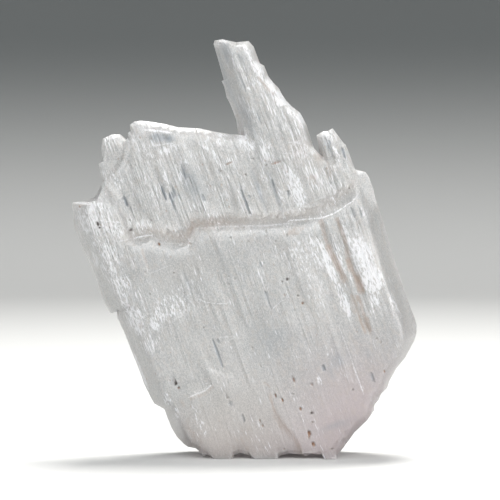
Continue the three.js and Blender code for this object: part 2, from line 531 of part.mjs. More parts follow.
// ---------------------------------------------------------------- into the standing position
const lean = radians(LEAN);
const crystalToWorld = new THREE.Matrix4().makeBasis(
  new THREE.Vector3(Math.cos(lean), 0, Math.sin(lean)),
  new THREE.Vector3(-Math.sin(lean), 0, Math.cos(lean)),
  new THREE.Vector3(0, -1, 0),
);

function toGeometry(solid) {
  const mesh = solid.getMesh();
  const geometry = new THREE.BufferGeometry();
  geometry.setAttribute('position', new THREE.Float32BufferAttribute(mesh.vertProperties, 3));
  geometry.setIndex([...mesh.triVerts]);
  return geometry;
}

const standing = toManifold(toGeometry(crystal).applyMatrix4(crystalToWorld));
const ground = toManifold(new THREE.BoxGeometry(100, 100, 20).translate(0, 0, FOOT_CUT - 10));
const geometry = toGeometry(standing.subtract(ground));
geometry.computeBoundingBox();
const box = geometry.boundingBox;
geometry.translate(-(box.min.x + box.max.x) / 2, -(box.min.y + box.max.y) / 2, -box.min.z);
geometry.computeVertexNormals();

const kunzite = new THREE.MeshStandardMaterial({ color: 0xd5cfd2, roughness: 0.35, metalness: 0 });
const crystalMesh = new THREE.Mesh(geometry, kunzite);
crystalMesh.name = 'kunzite_crystal';

const group = new THREE.Group();
group.add(crystalMesh);

export default group;
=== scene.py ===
"""A kunzite crystal: the cut and etched blade, its milky see-through stone, and the stage it stands on."""

import json
import math

import bpy
import numpy as np
from bpy.props import FloatProperty, FloatVectorProperty, IntProperty, PointerProperty
from bpy.types import Operator, Panel, PropertyGroup
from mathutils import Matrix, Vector, noise
from mathutils.bvhtree import BVHTree

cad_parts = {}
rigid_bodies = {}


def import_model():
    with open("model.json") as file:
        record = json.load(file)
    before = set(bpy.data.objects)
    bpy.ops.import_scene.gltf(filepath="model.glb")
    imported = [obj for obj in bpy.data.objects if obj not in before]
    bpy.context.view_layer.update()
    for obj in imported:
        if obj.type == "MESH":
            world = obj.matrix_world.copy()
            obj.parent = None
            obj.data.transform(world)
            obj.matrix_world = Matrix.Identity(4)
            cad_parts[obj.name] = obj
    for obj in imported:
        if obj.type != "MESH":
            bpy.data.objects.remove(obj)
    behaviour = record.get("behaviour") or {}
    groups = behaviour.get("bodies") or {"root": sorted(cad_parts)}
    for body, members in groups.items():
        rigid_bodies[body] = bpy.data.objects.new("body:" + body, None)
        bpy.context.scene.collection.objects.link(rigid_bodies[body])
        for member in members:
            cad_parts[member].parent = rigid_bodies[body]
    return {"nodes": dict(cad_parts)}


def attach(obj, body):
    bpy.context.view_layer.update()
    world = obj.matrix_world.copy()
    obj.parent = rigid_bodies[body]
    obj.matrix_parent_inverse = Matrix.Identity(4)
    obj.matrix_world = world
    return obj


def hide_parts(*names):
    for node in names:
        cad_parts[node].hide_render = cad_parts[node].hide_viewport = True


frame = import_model()

bl_info = {
    "name": "Kunzite Crystal",
    "version": (1, 0, 0),
    "blender": (4, 5, 0),
    "location": "View3D > Sidebar > Kunzite",
    "description": "Builds a striated kunzite blade and a plain stage for it",
    "category": "Add Mesh",
}

MM = 0.001
# How much of the feet is worn flat. The places below are measured from the feet as they were before.
FOOT_CUT = 0.2 * MM
SOLID = "kunzite_crystal"
# Thin lines are kept on the mesh as a distance, in half widths of the line, up to this many.
LINE_REACH = 10.0
# A number larger than any distance on the crystal, in millimetres.
FAR = 1e3

# Depths and heights that are shaped into the surface, in millimetres.
PIT_DEPTH = 0.16
SLIT_DEPTH = 0.12
LINE_HEIGHT = 0.02
LEDGE_RELIEF = 0.09
SWELL = 0.07

# How many times each kind of noise changes in a millimetre: across, through and along the crystal.
VEIL = (0.50, 0.5, 0.25)
RAGGED = (4.5, 3.5, 1.3)
GRAIN = (8.0, 6.0, 4.5)
DUST = (13.0, 11.0, 8.0)
TINT = (2.4, 2.4, 1.4)
SPLINTERS = (6.5, 3.5, 1.9)
GAPS = (4.0, 4.0, 4.0)
BROAD_STREAKS = (2.6, 1.0, 0.34)
FINE_STREAKS = (8.0, 2.4, 0.75)
THIN_GLINTS = (9.0, 3.0, 0.9)
BUNDLES = (0.9, 0.6, 0.35)
SHORT_DASHES = (8.0, 3.0, 1.7)
ETCHED_BLOCKS = (5.5, 4.0, 2.2)
ETCHED_GRAIN = (8.0, 5.0, 4.0)
SPECK_SPACING = (1.7, 1.7, 1.1)
ROUGH_GRAIN = (5.0, 5.0, 3.0)

# Places on the front face, in millimetres: u across the blade, v along it.
# Ovals are (u, v, half width, half length, strength).
DARK_PITS = (
    (-6.0, 29.15, 0.15, 0.15, 1.0), (-5.95, 28.7, 0.12, 0.12, 0.9), (-5.0, 28.3, 0.10, 0.12, 0.7),
    (-3.0, 27.35, 0.14, 0.14, 0.9), (-2.77, 28.35, 0.09, 0.10, 0.6), (-0.64, 27.5, 0.10, 0.10, 0.6),
    (-2.2, 25.9, 0.10, 0.10, 0.6), (-2.98, 22.6, 0.10, 0.12, 0.6),
    (-0.24, 21.5, 0.10, 0.10, 0.6), (-3.37, 20.25, 0.10, 0.12, 0.6), (-5.92, 24.25, 0.09, 0.12, 0.6),
    (6.8, 22.9, 0.11, 0.12, 0.7), (8.5, 23.5, 0.10, 0.10, 0.6), (10.6, 22.4, 0.10, 0.10, 0.6),
    (8.4, 21.85, 0.09, 0.10, 0.5), (11.17, 20.97, 0.10, 0.12, 0.6), (13.36, 21.9, 0.12, 0.10, 0.6),
    (10.9, 16.7, 0.15, 0.15, 1.0), (10.35, 16.68, 0.10, 0.10, 0.7), (10.22, 16.33, 0.09, 0.10, 0.6),
    (11.4, 14.7, 0.10, 0.12, 0.7), (0.8, 14.9, 0.09, 0.12, 0.6), (-4.03, 10.3, 0.16, 0.16, 1.0),
    (-0.55, 8.9, 0.10, 0.10, 0.6), (4.9, 11.2, 0.09, 0.10, 0.5), (8.5, 2.4, 0.13, 0.13, 0.9),
    (13.47, 3.25, 0.10, 0.10, 0.6), (20.43, 23.55, 0.11, 0.11, 0.7),
    (8.15, 29.95, 0.10, 0.10, 0.6), (10.54, 28.65, 0.10, 0.12, 0.7), (12.16, 27.6, 0.10, 0.12, 0.6),
    (12.95, 28.9, 0.11, 0.11, 0.7), (17.7, 7.5, 0.11, 0.12, 0.6), (9.2, -2.0, 0.10, 0.10, 0.6),
    (-5.53, 22.7, 0.08, 0.08, 0.6), (-6.06, 22.9, 0.08, 0.08, 0.5), (10.4, 21.8, 0.08, 0.08, 0.5),
    (12.5, 21.2, 0.10, 0.08, 0.6), (0.75, 14.6, 0.08, 0.08, 0.5), (21.78, 10.65, 0.08, 0.08, 0.5),
    (21.17, 23.4, 0.08, 0.08, 0.6), (11.88, 29.96, 0.08, 0.08, 0.5), (18.0, 7.0, 0.08, 0.10, 0.5),
    (0.57, 6.98, 0.10, 0.12, 0.6), (8.3, 3.5, 0.09, 0.14, 0.6),
    (15.4, 19.8, 0.09, 0.12, 0.6), (11.58, 19.75, 0.09, 0.10, 0.6), (5.2, 19.1, 0.09, 0.09, 0.6),
    (5.7, 18.7, 0.09, 0.09, 0.5), (4.9, 18.3, 0.08, 0.09, 0.5), (20.43, 9.36, 0.10, 0.12, 0.6),
)
RUST_PITS = (
    (-7.3, 31.5, 0.13, 0.13, 0.9), (-0.65, 24.9, 0.13, 0.17, 1.0), (1.76, 23.9, 0.12, 0.10, 0.9),
    (2.57, 23.75, 0.10, 0.10, 0.7),
    (11.56, 13.75, 0.12, 0.14, 0.9), (10.07, 15.2, 0.11, 0.13, 0.7), (-3.9, 9.75, 0.12, 0.14, 0.7),
    (7.5, 0.45, 0.18, 0.26, 0.9), (7.52, -0.85, 0.16, 0.26, 1.0), (7.35, 0.1, 0.10, 0.22, 0.8),
    (3.1, 2.9, 0.10, 0.16, 0.7), (17.3, 3.9, 0.12, 0.16, 0.7), (14.1, 28.75, 0.55, 0.16, 0.6),
    (9.3, 30.4, 0.35, 0.12, 0.7), (5.06, 8.87, 0.10, 0.10, 0.6),
    (4.46, -0.25, 0.09, 0.12, 0.6), (-4.49, 10.8, 0.08, 0.12, 0.5), (7.55, 3.22, 0.10, 0.18, 0.9),
    (5.5, 5.45, 0.08, 0.22, 0.8), (6.02, 4.72, 0.10, 0.18, 0.9), (8.26, 1.43, 0.12, 0.12, 0.9),
    (7.9, 6.4, 0.13, 0.34, 0.65), (9.6, 5.2, 0.09, 0.22, 0.65), (7.36, 4.96, 0.08, 0.10, 0.65),
    (3.02, 3.5, 0.08, 0.18, 0.7),
)
# Narrow slits along the crystal are (u, v from, v to, half width, strength).
SLITS = (
    (1.65, 29.0, 30.6, 0.11, 1.0), (2.2, 28.3, 29.7, 0.10, 0.9), (2.7, 29.0, 29.9, 0.10, 0.8),
    (-2.47, 29.8, 30.95, 0.13, 1.0), (-2.25, 29.1, 29.7, 0.10, 0.7), (4.4, 30.3, 31.6, 0.14, 0.8),
    (5.5, 27.5, 28.3, 0.10, 0.7), (14.2, 25.0, 25.6, 0.11, 0.8), (13.0, 26.4, 27.25, 0.10, 0.7),
    (10.15, 26.1, 26.6, 0.10, 0.6), (9.55, 24.5, 27.5, 0.09, 0.8), (21.2, 26.7, 27.8, 0.12, 0.9),
    (19.9, 20.4, 21.5, 0.12, 0.6), (8.8, 18.9, 19.5, 0.09, 0.5), (1.25, 10.2, 13.4, 0.12, 0.8),
    (1.75, 12.8, 13.3, 0.09, 0.7), (8.23, 14.2, 16.4, 0.07, 0.6), (0.68, 6.0, 6.6, 0.09, 0.6),
    (11.35, 6.1, 6.75, 0.12, 1.0), (15.9, 3.2, 4.3, 0.10, 0.7), (14.0, 33.0, 34.6, 0.10, 0.5),
    (12.9, 40.6, 42.2, 0.10, 0.6), (13.6, 37.0, 39.2, 0.09, 0.5), (12.2, 35.0, 37.0, 0.09, 0.5),
    (20.15, 28.6, 29.1, 0.10, 0.8), (20.7, 20.3, 21.0, 0.10, 0.8), (2.45, 28.9, 29.6, 0.09, 0.8),
    (3.1, 28.6, 29.3, 0.08, 0.6), (4.7, 29.6, 30.6, 0.10, 0.8), (1.45, 4.0, 4.7, 0.08, 0.6),
)
# Places where the front is worn flatter than elsewhere.
WORN_PATCHES = (
    (-4.6, 27.0, 1.2, 3.0, 1.0), (-4.6, 21.5, 1.2, 5.5, 1.0), (-2.0, 26.4, 1.6, 1.0, 0.8),
    (0.8, 25.0, 2.4, 1.4, 1.0), (-3.6, 31.6, 1.4, 2.0, 0.8), (11.4, 33.6, 1.2, 3.4, 0.7),
)
# Clearer places of the stone. They are painted a cool dark grey: painted shade, for the dark background seen
# through them.
CLEAR_PATCHES = (
    (4.9, 29.7, 0.9, 1.8, 0.45), (11.3, 26.6, 0.22, 2.2, 0.6), (12.9, 25.7, 0.22, 1.8, 0.6),
    (2.9, 35.75, 0.55, 0.40, 0.9), (3.5, 35.4, 0.55, 0.40, 1.0), (4.2, 35.05, 0.55, 0.36, 0.9),
    (13.0, 6.7, 1.1, 0.5, 0.45), (16.27, 6.2, 0.3, 0.3, 0.4),
    (10.3, 0.2, 1.4, 0.22, 0.7), (11.9, 5.8, 0.3, 0.2, 0.4), (12.0, 39.4, 0.35, 3.4, 0.5),
    (13.1, 42.0, 0.5, 1.4, 0.5), (14.6, 13.3, 0.3, 0.4, 0.4), (19.9, 28.4, 0.3, 1.0, 0.5),
    (7.0, 11.5, 2.0, 1.8, 0.22), (12.7, 34.6, 0.5, 2.0, 0.35), (0.8, 20.1, 0.25, 1.2, 0.35),
    (14.45, 40.6, 0.45, 0.8, 0.45), (14.1, 28.75, 0.45, 0.3, 0.3),
)
# White etched places of the stone. Some are painted highlights: the bright band along the spike's right edge
# and across its top.
WHITE_PATCHES_AND_HIGHLIGHTS = (
    (-5.9, 30.7, 1.3, 0.7, 0.6), (-4.4, 27.8, 0.7, 1.2, 0.5), (-6.9, 27.4, 0.5, 1.2, 0.6),
    (-6.0, 25.9, 0.9, 0.9, 0.5), (-6.3, 22.9, 0.6, 2.2, 0.6), (-5.35, 22.1, 0.5, 1.1, 0.6),
    (-7.4, 29.9, 0.6, 1.8, 0.5), (-7.2, 24.6, 0.5, 2.4, 0.3), (-5.6, 29.2, 1.4, 1.8, 0.35),
    (-5.8, 24.6, 1.4, 1.6, 0.3), (-6.2, 20.2, 0.5, 1.6, 0.5),
    (-1.7, 18.1, 2.1, 1.4, 0.5), (0.6, 19.9, 1.2, 0.5, 0.35), (-3.0, 18.0, 0.7, 1.2, 0.5),
    (-5.7, 18.1, 0.9, 1.8, 0.75), (-4.0, 17.2, 0.5, 1.1, 0.8),
    (15.1, 25.5, 0.8, 2.4, 0.8), (13.4, 25.2, 0.4, 1.6, 0.5), (11.6, 32.5, 0.6, 0.8, 0.8),
    (12.2, 31.2, 0.6, 0.6, 0.8), (13.3, 30.5, 0.35, 1.2, 0.8), (14.1, 30.8, 0.5, 0.4, 0.8),
    (16.9, 29.1, 1.2, 1.3, 0.5), (15.6, 17.0, 0.4, 2.6, 0.9), (14.6, 18.4, 0.6, 2.4, 0.5),
    (15.8, 12.6, 0.5, 1.9, 0.8), (16.9, 16.6, 0.35, 1.6, 0.7),
    (19.4, 16.6, 1.1, 2.1, 1.0), (19.4, 13.6, 1.2, 1.6, 1.0), (18.9, 11.4, 0.5, 0.8, 0.8),
    (18.4, 18.9, 0.4, 1.4, 0.7), (13.2, 18.2, 1.4, 2.6, 0.4), (20.7, 10.6, 0.3, 1.2, 0.7),
    (-5.5, 9.0, 0.5, 0.8, 0.7), (-4.9, 7.4, 0.4, 0.6, 0.7), (-3.0, 5.8, 0.5, 2.2, 0.4),
    # Painted highlights from here: a bright band along the spike's right edge, on this line and the next two.
    (18.2, 32.2, 0.5, 0.9, 0.9), (17.5, 33.6, 0.5, 1.0, 0.9), (16.8, 35.0, 0.6, 1.0, 1.0),
    (16.3, 36.8, 0.5, 1.0, 1.0), (15.7, 38.6, 0.5, 1.2, 0.8), (14.7, 37.3, 0.9, 0.5, 0.7),
    (15.2, 40.6, 0.28, 1.4, 0.8), (13.4, 41.2, 0.25, 1.0, 0.6),
    # The first patch on this line is a painted highlight across the spike's top.
    (14.2, 42.9, 1.8, 0.4, 0.7), (12.46, 7.74, 0.4, 0.16, 1.0),
    (13.4, 14.4, 1.2, 2.2, 0.35), (10.5, 5.4, 0.2, 0.6, 1.0), (21.0, 20.5, 0.16, 0.9, 0.7),
    (8.6, 33.2, 2.0, 0.8, 0.5),
    (3.4, 34.0, 1.8, 0.5, 0.7), (4.8, 32.4, 1.2, 1.0, 0.5), (-2.6, 33.0, 0.7, 1.4, 0.5),
    (2.4, 31.2, 0.4, 1.4, 0.5), (0.4, 29.6, 0.6, 2.0, 0.3), (7.4, 27.6, 1.0, 1.8, 0.25),
    (9.9, 28.0, 0.5, 2.0, 0.3), (20.4, 27.4, 0.3, 1.2, 0.6), (19.4, 31.6, 0.5, 0.8, 0.6),
)
# Thin lines are (corners, half width, strength). Most are white lines in the stone; some are painted
# highlights: along the top edge of the left plate, along the ledge's lip and along the lower left outline.
WHITE_LINES_AND_HIGHLIGHTS = (
    # Painted highlight along the top edge of the left plate.
    (((-8.0, 32.25), (-5.7, 31.25)), 0.10, 0.9),
    (((-6.1, 29.6), (-4.0, 28.6)), 0.10, 0.9),
    # Painted highlights along the ledge's lip, from here to its right end.
    (((-4.67, 26.65), (-2.96, 26.4)), 0.06, 0.6),
    (((-2.96, 26.4), (-1.88, 26.26), (-1.12, 26.1)), 0.09, 1.0),
    (((-1.12, 26.1), (-0.5, 25.0), (2.3, 23.8)), 0.05, 0.3),
    (((2.3, 23.8), (3.4, 25.2), (7.1, 24.1), (10.9, 22.8), (13.3, 22.2)), 0.10, 0.55),
    (((13.3, 22.5), (14.3, 22.2), (16.6, 21.6), (18.0, 21.6), (19.1, 21.85), (20.3, 22.15)), 0.08, 1.0),
    (((20.3, 22.15), (20.75, 22.4), (21.3, 22.75)), 0.07, 0.6),
    (((-5.3, 22.95), (-2.78, 22.26), (-0.43, 22.4)), 0.06, 0.35),
    (((-1.1, 22.1), (-0.9, 20.2)), 0.06, 0.3),
    (((2.2, 36.8), (3.3, 36.3), (4.6, 35.6)), 0.12, 0.9),
    (((2.6, 34.9), (4.3, 34.5)), 0.09, 0.7),
    (((1.3, 18.0), (1.9, 17.4), (3.1, 16.8), (3.9, 16.5)), 0.08, 0.6),
    (((2.3, 13.25), (3.5, 12.95)), 0.07, 0.5),
    (((8.4, 14.3), (9.4, 14.7)), 0.08, 0.6),
    (((16.24, 30.3), (17.2, 30.0)), 0.09, 0.7),
    (((15.2, 29.4), (15.8, 29.2)), 0.08, 0.6),
    (((15.4, 19.6), (15.5, 17.0), (15.68, 14.7)), 0.15, 1.0),
    (((16.75, 17.2), (16.95, 15.2)), 0.07, 0.9),
    (((18.35, 16.6), (18.45, 13.0)), 0.07, 0.8),
    (((20.6, 11.2), (21.0, 9.2)), 0.08, 0.6),
    (((14.4, 2.6), (14.4, 6.0)), 0.07, 0.8),
    (((14.4, 6.0), (14.4, 10.0)), 0.06, 0.4),
    (((2.75, 3.9), (2.75, 2.9)), 0.08, 0.6),
    (((-0.62, 8.85), (-1.37, 8.55), (-3.05, 8.45)), 0.09, 0.6),
    (((9.35, 24.5), (9.35, 27.5)), 0.06, 0.6),
    (((9.75, 24.8), (9.75, 27.3)), 0.06, 0.5),
    # Painted highlight along the lower left outline.
    (((-7.3, 14.5), (-7.2, 10.8)), 0.14, 0.8),
    (((-5.6, 28.2), (-5.6, 26.1)), 0.09, 0.7),
    (((17.0, 17.6), (17.0, 21.0)), 0.07, 0.5),
    (((18.4, 12.4), (18.4, 20.8)), 0.08, 0.7),
)
STAIN_PATCHES = (
    (17.2, 25.9, 0.45, 0.5, 0.5), (18.6, 27.8, 0.8, 0.8, 0.4), (19.3, 26.1, 0.6, 0.8, 0.35),
    (16.8, 29.2, 1.2, 1.2, 0.25), (-5.55, 17.2, 0.3, 0.7, 0.35), (-4.06, 8.1, 0.3, 0.12, 0.5),
    (-4.4, 4.4, 0.9, 2.2, 0.25), (0.5, 1.8, 1.7, 1.7, 0.22), (13.2, 21.4, 1.0, 0.3, 0.4),
)
STAIN_LINES = (
    (((16.44, 21.3), (16.16, 18.5)), 0.20, 0.55),
    (((16.16, 18.5), (16.57, 15.5), (16.57, 14.5)), 0.28, 0.75),
    (((18.1, 20.9), (18.17, 18.9), (17.75, 16.2)), 0.18, 0.58),
    (((17.75, 16.4), (17.7, 15.3)), 0.26, 0.85),
    (((17.7, 15.3), (17.95, 14.2)), 0.22, 0.7),
    (((17.95, 14.3), (17.95, 12.9)), 0.32, 0.85),
    (((17.4, 12.4), (17.35, 10.3)), 0.12, 0.7),
    (((16.8, 12.6), (16.7, 11.2)), 0.32, 0.5),
    (((16.8, 10.1), (16.8, 8.5)), 0.13, 0.75),
    (((17.4, 9.9), (17.35, 8.6)), 0.20, 0.65),
    (((17.1, 9.9), (17.1, 8.7)), 0.34, 0.35),
    (((5.0, 5.6), (4.85, 4.4), (4.85, 3.2)), 0.12, 0.6),
    (((4.85, 3.2), (5.2, 2.0), (5.55, 1.0), (5.9, 0.0), (5.9, -1.3)), 0.30, 0.42),
    (((4.85, 7.25), (5.3, 6.5)), 0.08, 0.6),
    (((15.3, 38.0), (16.2, 35.8)), 0.12, 0.5),
    (((12.7, 21.2), (13.6, 20.9), (14.4, 21.3)), 0.12, 0.4),
    (((-0.5, 8.6), (-1.4, 8.25), (-3.0, 8.2)), 0.16, 0.35),
    (((-2.55, 25.0), (-2.55, 22.9)), 0.10, 0.4),
)
# The sloping ledge above the front step, along its middle.
LEDGE = ((-3.6, 26.8), (-1.2, 26.6), (0.3, 25.6), (2.2, 24.6), (3.6, 25.6), (6.4, 24.9), (9.0, 24.1),
         (11.5, 23.4), (14.0, 22.8), (16.4, 22.6), (18.5, 22.9), (20.8, 23.8))
CREAM_PATCHES = (
    (16.9, 29.1, 1.6, 1.4, 0.9), (18.4, 27.6, 1.4, 1.4, 0.7), (1.0, 21.0, 3.0, 1.6, 0.5),
    (13.0, 27.0, 5.0, 1.6, 0.25), (2.0, 33.6, 1.6, 0.7, 0.5),
)
# How light the stone is along the crystal.
CLOUD_PLACES = (-4.0, 6.0, 12.0, 20.0, 25.0, 31.0, 45.0)
CLOUD_VALUES = (0.24, 0.30, 0.36, 0.34, 0.38, 0.44, 0.44)
# Soft clouds inside the stone: above 0 lighter, below 0 darker.
CLOUDS = (
    (7.0, 11.5, 2.2, 2.0, -0.22), (9.2, 12.6, 1.4, 1.6, 0.15), (1.6, 13.4, 3.0, 3.0, 0.10),
    (-1.0, 13.3, 1.6, 1.6, 0.10), (2.6, 6.4, 2.4, 2.6, 0.12), (-4.4, 4.4, 1.0, 2.4, -0.25),
    (0.5, 1.6, 2.0, 1.8, -0.22), (13.0, 6.8, 1.6, 0.9, -0.14), (10.8, 0.6, 3.4, 1.4, -0.16),
    (5.8, 20.4, 2.4, 2.2, -0.08), (9.6, 19.2, 2.0, 2.6, 0.10), (17.6, 8.0, 2.2, 2.4, -0.10),
    (20.4, 16.0, 1.0, 4.0, 0.20), (13.8, 17.6, 1.8, 3.2, 0.16),
    (-0.6, 23.5, 1.8, 1.4, -0.14), (1.6, 19.4, 1.6, 1.3, -0.12), (-5.0, 11.3, 1.6, 1.8, 0.08),
    (-1.6, 6.6, 2.8, 1.6, 0.10), (13.5, 14.8, 1.5, 1.6, 0.12), (12.5, 11.9, 1.6, 1.6, 0.22),
    (13.7, 25.3, 1.8, 1.3, 0.18), (10.8, 26.2, 1.4, 1.4, 0.08), (4.7, 28.4, 1.4, 1.4, 0.07),
    (1.6, 29.5, 1.2, 1.4, -0.08), (-0.9, 31.6, 1.6, 1.6, -0.05),
    (19.4, 15.0, 1.6, 3.4, 0.15), (-5.8, 26.6, 1.6, 3.4, 0.03), (7.6, 33.0, 3.0, 1.8, 0.10),
    (15.6, 36.6, 1.2, 3.6, 0.02), (11.8, 40.6, 0.9, 3.6, -0.12), (4.8, 29.6, 1.6, 2.0, -0.16),
)
ETCHED_PATCHES = (
    (-1.0, 18.2, 2.6, 1.8, 0.7), (-5.6, 18.0, 1.0, 1.9, 0.7), (-6.0, 24.6, 1.0, 3.0, 0.5),
    (-6.0, 29.0, 1.4, 2.2, 0.5), (19.4, 15.2, 1.1, 3.2, 0.5), (12.0, 31.6, 2.4, 1.2, 0.5),
    (1.6, 34.0, 2.2, 0.9, 0.5), (-5.5, 9.2, 0.6, 1.2, 0.5), (13.4, 14.4, 1.2, 2.0, 0.35),
    (12.9, 43.0, 2.4, 0.8, 0.5), (6.4, 21.6, 4.0, 1.0, 0.25), (16.6, 29.0, 1.6, 1.6, 0.4),
)


class BladeSettings(PropertyGroup):
    """Sizes and colours of the crystal."""

    lean: FloatProperty(
        name="Lean", description="How far the blade's long axis leans to the left",
        default=math.radians(20.0), subtype="ANGLE", unit="ROTATION")
    striation_pitch: FloatProperty(
        name="Striation pitch", description="Mean distance between the striations cut into the surface",
        default=0.12 * MM, subtype="DISTANCE", unit="LENGTH")
    step_pitch: FloatProperty(
        name="Step pitch", description="Mean distance between cuts across the blade",
        default=0.75 * MM, subtype="DISTANCE", unit="LENGTH")
    striation_depth: FloatProperty(
        name="Striation depth", description="Depth of the strongest striations",
        default=0.09 * MM, subtype="DISTANCE", unit="LENGTH")
    wear_across: FloatProperty(
        name="Wear across", description="How far the steps of the front are rounded off, across the blade",
        default=0.22 * MM, subtype="DISTANCE", unit="LENGTH")
    wear_along: FloatProperty(
        name="Wear along", description="How far the steps of the front are rounded off, along the blade",
        default=0.40 * MM, subtype="DISTANCE", unit="LENGTH")
    wear_share: FloatProperty(
        name="Wear share", description="How much of each step of the front is worn away",
        default=0.92, min=0.0, max=1.0, subtype="FACTOR")
    seed: IntProperty(
        name="Seed", description="Another value gives another set of striations", default=7)
    milk: FloatVectorProperty(
        name="Milk colour", description="Colour of the hazy body of the stone",
        subtype="COLOR", size=3, min=0.0, max=1.0, default=(0.545, 0.54, 0.527))
    # This colour is also used for the painted highlights.
    frost: FloatVectorProperty(
        name="Frost colour", description="Colour of the etched white places",
        subtype="COLOR", size=3, min=0.0, max=1.0, default=(0.93, 0.94, 0.97))
    blush: FloatVectorProperty(
        name="Blush colour", description="The faint lilac of the lower right part",
        subtype="COLOR", size=3, min=0.0, max=1.0, default=(0.49, 0.41, 0.42))
    stain: FloatVectorProperty(
        name="Stain colour", description="Iron stain in the seams and pits",
        subtype="COLOR", size=3, min=0.0, max=1.0, default=(0.36, 0.25, 0.18))
    # Painted shade: the dark background seen through the clear places and slits.
    window: FloatVectorProperty(
        name="Window colour", description="The cool grey of the clear streaks",
        subtype="COLOR", size=3, min=0.0, max=1.0, default=(0.235, 0.285, 0.335))
    rust: FloatVectorProperty(
        name="Rust colour", description="Rust in some of the pits",
        subtype="COLOR", size=3, min=0.0, max=1.0, default=(0.34, 0.17, 0.09))
    dirt: FloatVectorProperty(
        name="Dirt colour", description="Dirt in the darkest pits",
        subtype="COLOR", size=3, min=0.0, max=1.0, default=(0.10, 0.08, 0.07))
    clarity: FloatProperty(
        name="Clarity", description="Share of the light that goes through the stone",
        default=0.52, min=0.5, max=1.0, subtype="FACTOR")
    refraction: FloatProperty(
        name="Refraction", description="Index of refraction of the stone", default=1.66, min=1.0, max=2.5)
    absorption: FloatVectorProperty(
        name="Absorption colour", description="Colour that light keeps on its way through the stone",
        subtype="COLOR", size=3, min=0.0, max=1.0, default=(0.90, 0.84, 0.90))
    haze_depth: FloatProperty(
        name="Haze depth", description="How far light spreads in the milky part of the stone",
        default=1.6 * MM, subtype="DISTANCE", unit="LENGTH")
    bump_height: FloatProperty(
        name="Grain height", description="Height of the finest lines and etch marks",
        default=0.07 * MM, subtype="DISTANCE", unit="LENGTH")
    absorption_density: FloatProperty(
        name="Absorption density", description="How fast light is lost on its way, for each metre",
        default=28.0, min=0.0)


class StageSettings(PropertyGroup):
    """The plain stage: floor, backdrop, lights and camera."""

    floor_colour: FloatVectorProperty(
        name="Floor colour", description="Colour of the floor and backdrop",
        subtype="COLOR", size=3, min=0.0, max=1.0, default=(0.62, 0.62, 0.61))
    camera_distance: FloatProperty(
        name="Camera distance", description="From the camera to the middle of the crystal",
        default=0.36, subtype="DISTANCE", unit="LENGTH")
    camera_height: FloatProperty(
        name="Camera elevation", description="How far the camera looks down",
        default=math.radians(2.5), subtype="ANGLE", unit="ROTATION")
    view_width: FloatProperty(
        name="View width", description="Width of the view at the crystal",
        default=53.9 * MM, subtype="DISTANCE", unit="LENGTH")
    # The painted shade at the top of the backdrop.
    wall_colour: FloatVectorProperty(
        name="Wall colour", description="Colour that the backdrop falls to above the crystal",
        subtype="COLOR", size=3, min=0.0, max=1.0, default=(0.16, 0.17, 0.17))
    key_strength: FloatProperty(
        name="Key strength", description="Power of the lamp above, in watts", default=1.5, min=0.0)
    side_strength: FloatProperty(
        name="Side strength", description="Power of each lamp at the sides, in watts", default=0.34, min=0.0)
    fill_strength: FloatProperty(
        name="Fill strength", description="Power of the lamp in front, in watts", default=1.15, min=0.0)
    sky_strength: FloatProperty(
        name="Sky strength", description="Brightness of the even light from above", default=0.44, min=0.0)


# ---------------------------------------------------------------- shapes

def deselect_all():
    """Nothing stays selected, so that an operator acts only on the piece in hand."""
    if bpy.context.object and bpy.context.object.mode != "OBJECT":
        bpy.ops.object.mode_set(mode="OBJECT")
    bpy.ops.object.select_all(action="DESELECT")


def make_active(piece):
    """Selects one object alone."""
    deselect_all()
    piece.select_set(True)
    bpy.context.view_layer.objects.active = piece


def blade_directions(lean):
    """The blade's own directions: across the broad face, along the crystal, and out of its front."""
    across = Vector((math.cos(lean), 0.0, math.sin(lean)))
    along = Vector((-math.sin(lean), 0.0, math.cos(lean)))
    outward = Vector((0.0, -1.0, 0.0))
    return across, along, outward


def cut_positions(low, high, pitch, seed):
    """Uneven places from low to high, closer together in some bands than in others."""
    chance = np.random.default_rng(seed)
    places = []
    place = low
    while place < high:
        band = 0.75 + 0.5 * math.sin(place / (9.0 * pitch)) ** 2
        place += pitch * band * chance.uniform(0.45, 1.6)
        places.append(place)
    return np.array(places)


def copy_solid(name):
    """A copy of the crystal's solid with its loose triangles joined."""
    solid = frame["nodes"][SOLID]
    make_active(solid)
    bpy.ops.object.duplicate()
    piece = bpy.context.view_layer.objects.active
    piece.name = name
    piece.data.name = name
    for note in list(piece.keys()):
        del piece[note]
    bpy.ops.object.parent_clear(type="CLEAR_KEEP_TRANSFORM")
    bpy.ops.mesh.customdata_custom_splitnormals_clear()
    bpy.ops.object.mode_set(mode="EDIT")
    bpy.ops.mesh.select_all(action="SELECT")
    bpy.ops.mesh.remove_doubles(threshold=1e-6)
    bpy.ops.object.mode_set(mode="OBJECT")
    return piece


def cut_across(piece, places, direction):
    """Cuts the whole surface with parallel planes, so that it can be shaped between them."""
    make_active(piece)
    bpy.ops.object.mode_set(mode="EDIT")
    for place in places:
        middle = direction * float(place) - Vector((0.0, 0.0, FOOT_CUT))
        bpy.ops.mesh.select_all(action="SELECT")
        bpy.ops.mesh.bisect(plane_co=middle, plane_no=direction)
    bpy.ops.object.mode_set(mode="OBJECT")


def read_points(piece):
    """All corners of a mesh as an array."""
    points = np.zeros(len(piece.data.vertices) * 3, np.float32)
    piece.data.vertices.foreach_get("co", points)
    return points.reshape(-1, 3).astype(float)


def write_points(piece, points):
    """Moves all corners of a mesh."""
    piece.data.vertices.foreach_set("co", points.astype(np.float32).ravel())
    piece.data.update()


def blade_coordinates(points, lean):
    """u, v and w of each point, in millimetres."""
    across, along, outward = blade_directions(lean)
    raised = points + np.array((0.0, 0.0, FOOT_CUT))
    return [raised @ np.array(direction) / MM for direction in (across, along, outward)]


